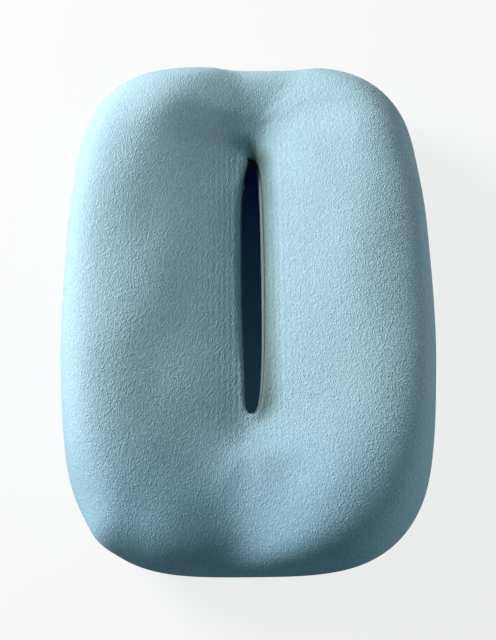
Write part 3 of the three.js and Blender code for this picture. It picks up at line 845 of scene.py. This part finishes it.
def wrinkle(skin, start, stop, depth, width):
    """A shallow crease in the top, along a line in plan."""
    start = np.array(start) * MM
    line = np.array(stop) * MM - start
    way = unit(line)
    offset = skin.points[..., :2] - start
    along = offset @ way / np.linalg.norm(line)
    aside = offset @ np.array([-way[1], way[0]])
    fade = smooth(along * 3 + 0.2) * smooth((1.15 - along) * 2.5)
    on_top = ((skin.stations > WRINKLE_SPAN[0]) & (skin.stations < WRINKLE_SPAN[1]))[None, :]
    profile = hill(aside, 0, width * MM) - BANK * hill(aside, 0, BANK_WIDTH * width * MM)
    skin.points[..., 2] -= depth * MM * profile * fade * on_top


def swell(skin, x, y, rise, radius):
    """A soft bump or dent in the top, round a place in plan."""
    away = np.hypot(skin.points[..., 0] - x * MM, skin.points[..., 1] - y * MM) / (radius * MM)
    on_top = faded(skin.stations, *SWELL_FADES)[None, :]
    skin.points += skin.normals() * (rise * MM * np.exp(-(away**2)) * on_top)[..., None]


def puckers(skin):
    """The seam round the foot gathers the cloth a little, and unevenly."""
    random = np.random.default_rng(11)
    arc = np.arange(ROWS) / ROWS * 2 * np.pi
    gather = np.zeros(ROWS)
    for waves in PUCKER_WAVES:
        gather += np.sin(arc * waves + random.uniform(0, 2 * np.pi)) * random.uniform(0.5, 1)
    gather = PUCKER * gather * 2 / len(PUCKER_WAVES)
    near = hill(skin.stations, SEAM - 0.05, 0.14) * (skin.stations < PUCKER_STOP)
    skin.points += skin.normals() * (gather[:, None] * near[None, :])[..., None]
    skin.points -= skin.normals() * (DITCH * hill(skin.stations, SEAM, DITCH_WIDTH))[None, :, None]


def sculpt(skin):
    overhang(skin)
    for start, stop, depth, width in WRINKLES:
        wrinkle(skin, start, stop, depth, width)
    for x, y, rise, radius in SWELLS:
        swell(skin, x, y, rise, radius)
    puckers(skin)


# ---------------- building
angles = even_angles(ROWS)
stations = station_line(ZONE_COLUMNS)
skin = Skin(angles, stations, skin_points(angles, stations))
skin.points = skin.points + doubled(simulate(skin))
sculpt(skin)

LINER_DEPTH = COVER + 0.4 * MM
LINER_THICK = 0.7 * MM
CORE_DEPTH = LINER_DEPTH + LINER_THICK + 0.4 * MM


# ---------------- the recess over the zip
TAPE_LO, TAPE_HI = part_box("zip_tape_outer")
COIL_LO, COIL_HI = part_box("zip_coil_outer")
ZIP_X = (TAPE_LO.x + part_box("zip_tape_inner")[1].x) / 2
RECESS_CEILING = TAPE_LO.z - COVER
RECESS_HALF = TAPE_HI.x - ZIP_X
RECESS_HALF_LENGTH = 148 * MM
RECESS_CORNER = 8 * MM
RECESS_SLOPE = 5 * MM
LINER_CLEARANCE = 4.8 * MM
WINDOW_HALF = 6 * MM
WINDOW_HALF_LENGTH = 139 * MM


def outside_box(x, y, half_x, half_y, corner):
    """Distance outside a rounded rectangle round the zip, negative within it."""
    across = np.abs(x - ZIP_X) - (half_x - corner)
    along = np.abs(y) - (half_y - corner)
    beyond = np.hypot(np.maximum(across, 0), np.maximum(along, 0))
    return beyond + np.minimum(np.maximum(across, along), 0) - corner


def recess_height(x, y, distance=0.0):
    """Height of the hollow over the zip, at a distance outside it. It falls to the base round its edge."""
    outside = outside_box(x, y, RECESS_HALF, RECESS_HALF_LENGTH, RECESS_CORNER) - distance
    return FLOOR + (RECESS_CEILING + distance - FLOOR) * (1 - smooth(outside / RECESS_SLOPE))


def lift_over_zip(points, distance):
    distance = np.broadcast_to(distance, points.shape[:2])
    on_base = points[..., 2] < 4 * RECESS_CEILING
    lifted = np.maximum(points[..., 2], recess_height(points[..., 0], points[..., 1], distance))
    points[..., 2] = np.where(on_base, lifted, points[..., 2])


# ---------------- foam, liner and cover
# Stations where panels start and stop, and half the widths of the seams between them.
SEAM_GAP = 0.02
LIP_GAP = 0.06
LINING_SPAN = (0.02, 0.93)
LIP_FROM = 0.95
SLOT_CUT = 5.93  # the base panel's slot
BINDING_SPAN = (5.95, 6.8)
LINER_SEAM = 0.5
LINER_GAP = 0.06
ROLL = 0.9 * MM  # how far a panel's outer face rolls over into a seam


def build_core():
    """The moulded foam and the stretch liner round it, whose last seam is half way down the slot."""
    everywhere = [np.linspace(0, BASE_START, 86)[:-1], np.linspace(BASE_START, STATION_END, 70)[:-1]]
    everywhere = np.concatenate(everywhere)
    points = skin.sample(skin.points, everywhere) - CORE_DEPTH * skin.sample(skin.normals(), everywhere)
    lift_over_zip(points, LINER_CLEARANCE + LINER_THICK + 0.4 * MM)
    swept("foam", points, FOAM, "foam", replaces="foam_core")
    first = LINER_SEAM + LINER_GAP
    last = STATION_END + LINER_SEAM - LINER_GAP
    liner = np.concatenate([np.linspace(first, BASE_START, 76)[:-1], np.linspace(BASE_START, last, 60)])
    inner = LINER_DEPTH + LINER_THICK
    shell("liner", liner, LINER_DEPTH, inner, LINER, "liner", LINER_CLEARANCE, replaces="inner_liner")


def build_cover():
    """The cover's panels down to the slot's lining, each with its edges turned into its seams."""
    top = spread(LIP_SEAM + LIP_GAP, SEAM - SEAM_GAP, 92)
    tongue = [SEAM - 0.6 * SEAM_GAP, SEAM + 0.6 * SEAM_GAP]
    depth = np.append(rolled(top, ROLL), [COVER - 0.4 * MM] * 2)
    shell("cover_top", np.append(top, tongue), depth, COVER, PLUSH, "plush", replaces="cover_top_panel")
    lip = spread(LIP_FROM, LIP_SEAM - LIP_GAP, 12)
    tongue = [LIP_SEAM - 0.8 * LIP_GAP, LIP_SEAM + 0.8 * LIP_GAP]
    depth = np.append(rolled(lip, 0.5 * MM), [COVER - 0.6 * MM] * 2)
    shell("slot_lip", np.append(lip, tongue), depth, COVER, LIP, "lining", replaces="slot_lip_binding")
    lining = spread(*LINING_SPAN, 30)
    depth = rolled(lining, 0.6 * MM)
    shell("slot_wall", lining, depth, COVER, LINING, "lining", replaces="slot_lining")
    binding = spread(*BINDING_SPAN, 14)
    fold = 0.18 * MM * (1 - np.cos(np.arange(ROWS) * 2 * np.pi / 3))[:, None]
    depth = rolled(binding, 0.5 * MM)[None, :] + fold
    shell("base_slot_edge", binding, depth, COVER, BINDING, "thread", replaces="base_slot_binding")


def ring_line(station, depth, count):
    """A closed line round the slot at one station, with the skin's normals along it."""
    points = skin.sample(skin.points, np.array([station]))[:, 0]
    normals = skin.sample(skin.normals(), np.array([station]))[:, 0]
    both = np.concatenate([points - depth * normals, normals], 1)
    both = np.concatenate([both, both[:1]])
    place = np.arange(count) / count * ROWS
    line = np.stack([np.interp(place, np.arange(ROWS + 1), both[:, n]) for n in range(6)], -1)
    return line[:, :3], unit(line[:, 3:])


CORD_DEPTH = 0.9 * MM
CORD_RADIUS = 0.6 * MM
CORD_TWISTS = 400


def build_seams():
    """The twisted cord in the seam round the foot, and the stitch line round the slot's lip."""
    count = 4 * ROWS
    line, normals = ring_line(SEAM, CORD_DEPTH, count)
    along = unit(np.roll(line, -1, 0) - np.roll(line, 1, 0))
    aside = np.cross(along, normals)
    turn = np.arange(10) / 10 * 2 * np.pi
    twist = np.arange(count)[:, None] * 2 * np.pi * CORD_TWISTS / count
    radius = CORD_RADIUS * (0.86 + 0.14 * np.cos(2 * turn[None, :] - twist))
    spokes = normals[:, None] * np.cos(turn)[:, None] + aside[:, None] * np.sin(turn)[:, None]
    loops = line[:, None] + spokes * radius[..., None]
    swept("perimeter_cord", loops, CORD, "thread", replaces="perimeter_seam_cord")
    line, normals = ring_line(LIP_SEAM, 1.0 * MM, 3 * ROWS)
    line = np.concatenate([line, line[:1]])
    normals = np.concatenate([normals, normals[:1]])
    sewn = (2.9 * MM, 0.55 * MM, 0.1 * MM)
    stitches("slot_stitches", line, normals, *sewn, THREAD, replaces="slot_seam_thread")


# ---------------- base panel
def inside(points, loop):
    """Which plan points lie inside a closed loop."""
    found = np.zeros(len(points), bool)
    for (x0, y0), (x1, y1) in zip(loop, np.roll(loop, -1, 0)):
        crosses = (y0 > points[:, 1]) != (y1 > points[:, 1])
        if y0 != y1:
            found ^= crosses & (points[:, 0] < x0 + (points[:, 1] - y0) * (x1 - x0) / (y1 - y0))
    return found


def stadium(half_x, half_y, step):
    """A closed loop with round ends about the zip."""
    straight = np.arange(-(half_y - half_x), half_y - half_x, step)
    turn = np.arange(0, np.pi, step / half_x)
    right = np.stack([np.full_like(straight, half_x), straight], -1)
    top = np.stack([half_x * np.cos(turn), half_y - half_x + half_x * np.sin(turn)], -1)
    loop = np.concatenate([right, top])
    return np.concatenate([loop, -loop]) + [ZIP_X, 0]


def plan_grid(step, keep):
    x = np.arange(-HALF_WIDTH, HALF_WIDTH, step)
    y = np.arange(-HALF_LENGTH, HALF_LENGTH, step)
    points = np.stack(np.meshgrid(x, y, indexing="ij"), -1).reshape(-1, 2)
    points[:, 0] += (points[:, 1] / step).round() % 2 * step / 2
    return points[keep(points)]


FINE_STEP = 1.5 * MM  # spacing of points over the hollow's edge, and elsewhere
COARSE_STEP = 4.5 * MM
HEM_WIDTH = 2 * MM
HEMS = (0.35 * MM, 0.9 * MM, HEM_WIDTH)
SLOT_MARGIN = 9 * MM
ROLL_STOP = 4.8  # station where the base panel has turned out of its seam
RINGS_STOP = 5.04  # last station whose points stay in rings


def base_points(limit, slot):
    """Loose points in plan within a limit: fine over the hollow's edge, coarse elsewhere."""

    def free(points, step):
        window = outside_box(*points.T, WINDOW_HALF, WINDOW_HALF_LENGTH, WINDOW_HALF)
        fits = inside(points, limit + (unit(-limit) * step * 0.6)) & ~inside(points, slot)
        beyond = np.maximum(np.abs(points[:, 1] - SLOT_Y) - SLOT_HALF_LENGTH, 0)
        near = np.hypot(points[:, 0] - SLOT_X, beyond)
        return fits & (window > HEM_WIDTH + step * 0.5) & (near > SLOT_HALF_WIDTH + SLOT_MARGIN + step * 0.3)

    def wall(points):
        out = outside_box(*points.T, RECESS_HALF, RECESS_HALF_LENGTH, RECESS_CORNER)
        return (out > -2.5 * MM) & (out < RECESS_SLOPE + 2 * MM)

    fine = plan_grid(FINE_STEP, lambda points: free(points, FINE_STEP) & wall(points))
    coarse = plan_grid(COARSE_STEP, lambda points: free(points, COARSE_STEP) & ~wall(points))
    return [fine, coarse]


def panel_surfaces(plan):
    """Front and back of the base panel at points in plan, with its hem turned up round the window."""
    out = outside_box(*plan.T, WINDOW_HALF, WINDOW_HALF_LENGTH, WINDOW_HALF)
    hem = ROLL * (1 - np.sqrt(1 - np.clip(1 - out / ROLL, 0, 1) ** 2))
    height = recess_height(*plan.T)
    step = 0.1 * MM
    tilt = [recess_height(*(plan + way).T) - recess_height(*(plan - way).T) for way in np.eye(2) * step]
    way = unit(np.column_stack([-tilt[0], -tilt[1], np.full(len(plan), 2 * step)]))
    front = np.column_stack([plan, height + hem * (out < ROLL)])
    back = np.column_stack([plan, height]) + way * COVER
    back[:, 2] = np.maximum(back[:, 2], FLOOR + COVER)
    return front, back


def closed_sheet(front, back, faces):
    """Vertices and faces of a solid between two surfaces that share their triangles."""
    count = len(front)
    sides = np.concatenate([faces[:, [0, 1]], faces[:, [1, 2]], faces[:, [2, 0]]])
    keys = {tuple(side) for side in sides.tolist()}
    rim = [(a, b, b + count, a + count) for a, b in keys if (b, a) not in keys]
    solid = faces[:, ::-1].tolist() + (faces + count).tolist() + rim
    used = np.unique(np.concatenate([np.array(face) for face in solid]))
    renamed = np.full(2 * count, -1)
    renamed[used] = np.arange(len(used))
    solid = [[int(renamed[corner]) for corner in face] for face in solid]
    return np.concatenate([front, back])[used], solid


def build_base():
    """The base panel, triangulated in plan: it dips up over the zip and stops at a window along it."""
    stations = np.append(spread(SEAM + SEAM_GAP, BASE_START, 12), RINGS_STOP)
    backs = -skin.sample(skin.normals(), stations)
    depth = rolled(stations, ROLL) * (stations < ROLL_STOP)
    rings = skin.sample(skin.points, stations) + backs * depth[None, :, None]
    slot = skin.sample(skin.points, np.array([SLOT_CUT]))[::2, 0, :2]
    edges = [stadium(WINDOW_HALF + out, WINDOW_HALF_LENGTH + out, FINE_STEP) for out in (0, *HEMS)]
    loops = [rings[:, 0, :2], slot, *edges]
    loose = [rings[:, 1:, :2].reshape(-1, 2), *base_points(rings[:, -1, :2], slot)]
    plan = np.concatenate(loops + loose)
    links = []
    start = 0
    for loop in loops:
        links += [(start + n, start + (n + 1) % len(loop)) for n in range(len(loop))]
        start += len(loop)

    # Points of the rings keep their own height, and their backs lie along the skin's normals.
    later = start + np.arange(ROWS * (len(stations) - 1)).reshape(ROWS, -1)
    order = np.column_stack([np.arange(ROWS), later])
    heights = np.zeros((len(plan), 3))
    heights[order] = rings
    ways = np.zeros((len(plan), 3))
    ways[order] = backs * (COVER - depth)[None, :, None]

    made = geometry.delaunay_2d_cdt([Vector(point) for point in plan], links, [], 0, 1e-7)
    plan = np.array([point[:] for point in made[0]])
    faces = np.array(made[2])
    middle = plan[faces].mean(1)
    faces = faces[inside(middle, loops[0]) & ~inside(middle, slot) & ~inside(middle, edges[0])]
    front, back = panel_surfaces(plan)
    for index, origins in enumerate(made[3]):
        if origins and np.any(ways[origins[0]]):
            front[index] = heights[origins[0]]
            back[index] = front[index] + ways[origins[0]]
    points, solid = closed_sheet(front, back, faces)
    piece = face_out(make_mesh("cover_base", points, solid, BASE, "base", replaces="cover_base_panel"))
    mark_edges(piece)


# ---------------- zip
COIL_PITCH = 1.5 * MM
COIL_WIRE = 0.3 * MM
COIL_TAPER = np.array([0.7, 1, 1.1, 1.15, 1.1, 1, 0.7])
HEAD_HALF = 1.25 * MM  # half the width of a locked head; heads bow up and down in turn, and sag
HEAD_BOW = 0.25 * MM
HEAD_SAG = 0.35 * MM
TAPE_RIB = 0.09 * MM
TAPE_RIPPLE = 0.05 * MM
TAPE_ROUGH = 0.15 * MM


def build_zip():
    for side, sign in (("inner", -1), ("outer", 1)):
        build_tape(side)
        build_coil(side, sign)
        x = ZIP_X + sign * (WINDOW_HALF + 3.5 * MM)
        y = np.linspace(-WINDOW_HALF_LENGTH, WINDOW_HALF_LENGTH, 200)
        line = np.column_stack([np.full(200, x), y, recess_height(x, y)])
        sewn = (3.2 * MM, 0.7 * MM, 0.1 * MM)
        stitches(f"zip_stitches_{side}", line, DOWN, *sewn, replaces=f"zip_stitch_{side}")
    build_chain()


def build_chain():
    """The heads that lock the two coils, from the bottom stop to the slider, which they follow."""
    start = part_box("zip_bottom_stop")[1].y + 0.6 * MM
    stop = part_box("zip_slider")[0].y - 0.5 * MM
    level = (COIL_LO.z + COIL_HI.z) / 2
    y = np.arange(start, stop, COIL_PITCH / 2)[:, None]
    share = np.linspace(-1, 1, len(COIL_TAPER))
    arch = 1 - share**2
    bow = (np.arange(len(y)) % 2 * 2 - 1)[:, None] * HEAD_BOW * arch
    parts = (ZIP_X + share * HEAD_HALF, y, level + bow - HEAD_SAG * arch)
    paths = np.stack(np.broadcast_arrays(*parts), -1)
    chain = tubes("zip_chain", paths, COIL_WIRE * COIL_TAPER, 8, COIL, "coil")
    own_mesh(chain)


def build_tape(side):
    """A woven tape with fine ribs, rippled where the stitches hold it."""
    lo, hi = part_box(f"zip_tape_{side}")
    x, y = np.meshgrid(np.linspace(lo.x, hi.x, 60), np.linspace(lo.y, hi.y, 190), indexing="ij")
    rib = TAPE_RIB * (0.5 + 0.5 * np.cos(x * 2 * np.pi / (1.0 * MM)))
    ripple = TAPE_RIPPLE * np.sin(y * 2 * np.pi / (5.5 * MM)) * (np.abs(x - ZIP_X) > 8 * MM)
    points = np.stack([x, y, lo.z + rib + ripple], -1)
    thick = hi.z - lo.z - TAPE_ROUGH
    piece = sheet(f"zip_tape_{side}_woven", points, thick, TAPE, "tape", replaces=f"zip_tape_{side}")
    mark_edges(piece)


def build_coil(side, sign):
    lo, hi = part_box(f"zip_coil_{side}")
    turns = int((hi.y - lo.y) / COIL_PITCH)
    turn = np.linspace(0, turns * 2 * np.pi, turns * 14)
    wide = (hi.x - lo.x) / 2 - COIL_WIRE
    high = (hi.z - lo.z) / 2 - COIL_WIRE
    x = (lo.x + hi.x) / 2 + wide * np.cos(turn) * sign
    z = (lo.z + hi.z) / 2 + high * np.sin(turn)
    y = np.linspace(lo.y + COIL_WIRE, hi.y - COIL_WIRE, len(turn))
    radii = np.full(len(turn), COIL_WIRE)
    options = {"up": (0, 1, 0), "replaces": f"zip_coil_{side}"}
    tubes(f"zip_coil_{side}_wound", np.stack([x, y, z], -1)[None], radii, 6, COIL, "coil", **options)


# ---------------- loop strips and label
STRIP_CORNER = 4 * MM
STRIP_SEW_IN = 2.95 * MM  # from the strip's edge in to its stitches
LOOP_PITCH = 1.5 * MM
LOOP_TURN = np.linspace(-0.15, 1.15, 6) * np.pi


def build_strip(side, seed):
    """A loop strip: woven tape, with a pile of small loops hanging under it and a sewn line."""
    lo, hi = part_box(f"loop_strip_{side}")
    ground = lo.z + 0.6 * (hi.z - lo.z)
    middle = (lo.x + hi.x) / 2
    half = np.array([(hi.x - lo.x) / 2, hi.y])
    y = np.linspace(lo.y, hi.y, 161)
    inset = np.maximum(np.abs(y) - (hi.y - STRIP_CORNER), 0)
    width = half[0] - STRIP_CORNER + np.sqrt(np.maximum(STRIP_CORNER**2 - inset**2, (1 * MM) ** 2))
    share = np.linspace(-1, 1, 41)[:, None]
    weave = ground + 0.05 * MM * np.cos(share * 30 * np.pi)
    points = np.stack(np.broadcast_arrays(middle + width * share, y, weave), -1)
    sheet(f"loop_tape_{side}", points, hi.z - ground, LOOP_TAPE, "loop", replaces=f"loop_strip_{side}")

    random = np.random.default_rng(seed)
    spots = loop_spots(half, random)
    lean = random.uniform(0, 2 * np.pi, len(spots))
    size = random.uniform(0.55, 0.75, len(spots)) * MM
    out = np.cos(LOOP_TURN) * size[:, None]
    px = middle + spots[:, :1] + out * np.cos(lean)[:, None]
    py = spots[:, 1:] + out * np.sin(lean)[:, None]
    drop = (ground - lo.z - 0.1 * MM) * (0.5 + 0.5 * np.sin(LOOP_TURN))
    paths = np.stack(np.broadcast_arrays(px, py, ground - drop), -1)
    tubes(f"loop_pile_{side}", paths, np.full(6, 0.1 * MM), 3, LOOP, "loop", up=(0.3, 0.2, 1))

    line = rectangle(middle, *(half - STRIP_SEW_IN), 3 * MM, ground)
    sewn = (2.8 * MM, 0.5 * MM, 0.05 * MM)
    stitches(f"loop_stitches_{side}", line, DOWN, *sewn, replaces=f"loop_stitch_{side}")


def loop_spots(half, random):
    """Where a strip's loops stand about its middle: jittered rows, clear of its stitches and edges."""
    nx, ny = ((2 * half - 2 * MM) / LOOP_PITCH).astype(int)
    gx, gy = np.meshgrid(np.arange(nx), np.arange(ny), indexing="ij")
    spots = np.stack([gx.ravel() - (nx - 1) / 2, gy.ravel() - (ny - 1) / 2], -1) * LOOP_PITCH
    spots += random.uniform(-0.35, 0.35, spots.shape) * LOOP_PITCH
    from_line = (np.abs(spots) - (half - STRIP_SEW_IN)).max(1)
    spots = spots[np.abs(from_line) > 1.1 * MM]
    beyond = np.maximum(np.abs(spots) - (half - STRIP_CORNER), 0)
    return spots[np.hypot(*beyond.T) < STRIP_CORNER - 0.9 * MM]


def rectangle(middle, half_x, half_y, corner, level):
    """A closed line round a rounded rectangle, at one height."""
    turn = np.linspace(0, np.pi / 2, 7)
    line = []
    for quarter, (sx, sy) in enumerate(((1, 1), (-1, 1), (-1, -1), (1, -1))):
        arc = turn + quarter * np.pi / 2
        x = middle + sx * (half_x - corner) + corner * np.cos(arc)
        y = sy * (half_y - corner) + corner * np.sin(arc)
        line.append(np.column_stack([x, y, np.full(7, level)]))
    return np.concatenate([*line, line[0][:1]])


LABEL_LO, LABEL_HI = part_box("care_label")
LABEL_THICK = 0.18 * MM
LABEL_FOLD = 5 * MM
LABEL_CURL = 0.12 * MM
LABEL_UNDER = LABEL_HI.z - 2 * LABEL_THICK - 0.15 * MM  # height of the folded hems


def label_sheet(name, y, level, **options):
    """A piece of the label at one level, whose free long edge curls a little."""
    x, y = np.meshgrid(np.linspace(LABEL_LO.x, LABEL_HI.x, 31), y, indexing="ij")
    free = (x - LABEL_LO.x) / (LABEL_HI.x - LABEL_LO.x)
    along = (y - LABEL_LO.y) / (LABEL_HI.y - LABEL_LO.y)
    curl = LABEL_CURL * (1 - free) * np.sin(along * 3 * np.pi)
    sheet(name, np.stack([x, y, level + curl], -1), LABEL_THICK, LABEL, "label", **options)


def build_label():
    """A blank satin label, folded over at both ends and sewn down along its inner long edge."""
    whole = np.linspace(LABEL_LO.y, LABEL_HI.y, 46)
    label_sheet("label_blank", whole, LABEL_HI.z - LABEL_THICK - 0.12 * MM, replaces="care_label")
    for end, low in (("front", LABEL_LO.y), ("back", LABEL_HI.y - LABEL_FOLD)):
        label_sheet(f"label_hem_{end}", np.linspace(low, low + LABEL_FOLD, 8), LABEL_UNDER)
    y = np.linspace(LABEL_LO.y + 1 * MM, LABEL_HI.y - 1 * MM, 60)
    line = np.column_stack([np.full(60, LABEL_HI.x - 1.6 * MM), y, np.full(60, LABEL_UNDER)])
    stitches("label_stitches", line, DOWN, 2.4 * MM, 0.35 * MM, 0.05 * MM)


# ---------------- metal
def finish_metal():
    """The zip's metal keeps its CAD shape, with its edges rounded over as by wear."""
    for name in ("zip_slider", "zip_pull", "zip_bottom_stop", "zip_top_stop_inner", "zip_top_stop_outer"):
        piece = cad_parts[name]
        piece.data.materials.clear()
        piece.data.materials.append(NICKEL)
        bevel = piece.modifiers.new("edges", "BEVEL")
        bevel.width = 0.16 * MM
        bevel.segments = 3
        bevel.limit_method = "ANGLE"
        bevel.angle_limit = math.radians(35)


build_core()
build_cover()
build_seams()
build_base()
build_zip()
build_strip("left", 7)
build_strip("right", 8)
build_label()
finish_metal()


# ---------------- stage, light and camera
FLOOR_HALF = 6
MIDDLE = Vector((0, 0, 0.05))  # the lamps and the camera are placed round it


def mix_shader(tree, share, a, b):
    return node(tree, "MixShader", {0: share, 1: a, 2: b}).outputs[0]


def floor_material():
    """Pale to the camera, with painted shade under the slot: a dark emitting patch seen through it. It lets
    light through from below and to the part.
    """
    material, tree = new_material("floor")
    place = place_node(tree)
    axis = axes(tree, place)
    colour = mix_colour(tree, noise(tree, place, 3, 1), (0.95, 0.96, 0.96), (0.97, 0.97, 0.97))
    lit = node(tree, "BsdfDiffuse", {"Color": colour}).outputs[0]
    glow = node(tree, "Emission", {"Color": colour}).outputs[0]
    # Painted shade: under the cushion the floor is a dark emitting patch, seen only through the slot, darker
    # towards the forehead end.
    along = remap(tree, axis["Y"], SLOT_LO.y, SLOT_HI.y)
    slot_shade_colour = mix_colour(tree, along, (0.008, 0.032, 0.042), (0.001, 0.004, 0.019))
    shade = node(tree, "Emission", {"Color": slot_shade_colour}).outputs[0]
    aside = math_node(tree, "LESS_THAN", away_from(tree, axis["X"], SLOT_X), HALF_WIDTH / 2)
    ahead = math_node(tree, "LESS_THAN", away_from(tree, axis["Y"], SLOT_Y), HALF_LENGTH * 0.8)
    pale = mix_shader(tree, product(tree, aside, ahead), mix_shader(tree, 0.85, lit, glow), shade)
    dim = node(tree, "BsdfDiffuse", {"Color": (0.2, 0.22, 0.23, 1)}).outputs[0]
    clear = node(tree, "BsdfTransparent").outputs[0]
    ray = node(tree, "LightPath").outputs
    near = math_node(tree, "LESS_THAN", ray["Ray Length"], 12 * MM)
    bounced = product(tree, near, math_node(tree, "SUBTRACT", 1.0, ray["Is Camera Ray"]))
    below = node(tree, "NewGeometry").outputs["Backfacing"]
    open_share = math_node(tree, "MAXIMUM", math_node(tree, "MAXIMUM", below, bounced), ray["Is Shadow Ray"])
    seen = mix_shader(tree, ray["Is Camera Ray"], dim, pale)
    node(tree, "OutputMaterial", {"Surface": mix_shader(tree, open_share, seen, clear)})
    return material


def floor():
    corners = [(x * FLOOR_HALF, y * FLOOR_HALF, 0) for x, y in ((-1, -1), (1, -1), (1, 1), (-1, 1))]
    mesh = plain_mesh("floor", corners, [(0, 1, 2, 3)])
    mesh.materials.append(floor_material())
    add_object("floor", mesh)


def area_light(name, direction, distance, size, power, colour=(1, 1, 1)):
    light = bpy.data.lights.new(name, "AREA")
    light.shape = "DISK"
    light.size = size
    light.energy = power
    light.color = colour
    lamp = add_object(name, light)
    way = Vector(direction).normalized()
    lamp.location = MIDDLE + way * distance
    lamp.rotation_euler = way.to_track_quat("Z", "Y").to_euler()


def light_scene():
    world = bpy.data.worlds.new("studio")
    world.use_nodes = True
    tree = world.node_tree
    tree.nodes.clear()
    fill = node(tree, "Background", {"Color": (0.60, 0.96, 1.0, 1), "Strength": 0.08}).outputs[0]
    backdrop = node(tree, "Background", {"Color": (0.93, 0.94, 0.94, 1)}).outputs[0]
    to_camera = node(tree, "LightPath").outputs["Is Camera Ray"]
    node(tree, "OutputWorld", {"Surface": mix_shader(tree, to_camera, fill, backdrop)})
    bpy.context.scene.world = world
    area_light("key", (-0.775, 0.42, 0.385), 1.8, 1.1, 54.5, (1.09, 1.03, 1.06))
    area_light("side", (1, 0.15, 0.08), 1.6, 0.6, 7, (1, 0.98, 0.97))
    area_light("front", (0.5, -0.8, 0.12), 1.5, 0.6, 1.2, (0.75, 0.95, 1.0))
    area_light("under", (0.3, 0.5, -0.85), 1.4, 0.8, 6)


CAMERA_RISE = math.radians(68.8)
CAMERA_TILT = math.radians(0.7)
CAMERA_DISTANCE = 0.9


def aim_camera():
    cam = bpy.data.cameras.new("camera")
    cam.sensor_width = 36
    cam.lens = 61.8
    cam.shift_y = -0.0275
    camera = add_object("camera", cam)
    back = Vector((0, -math.cos(CAMERA_RISE), math.sin(CAMERA_RISE)))
    camera.location = MIDDLE + back * CAMERA_DISTANCE
    camera.rotation_euler = back.to_track_quat("Z", "Y").to_euler()
    camera.rotation_euler.rotate_axis("Z", -CAMERA_TILT)
    bpy.context.scene.camera = camera


floor()
light_scene()
aim_camera()
bpy.context.scene.view_settings.view_transform = "Standard"
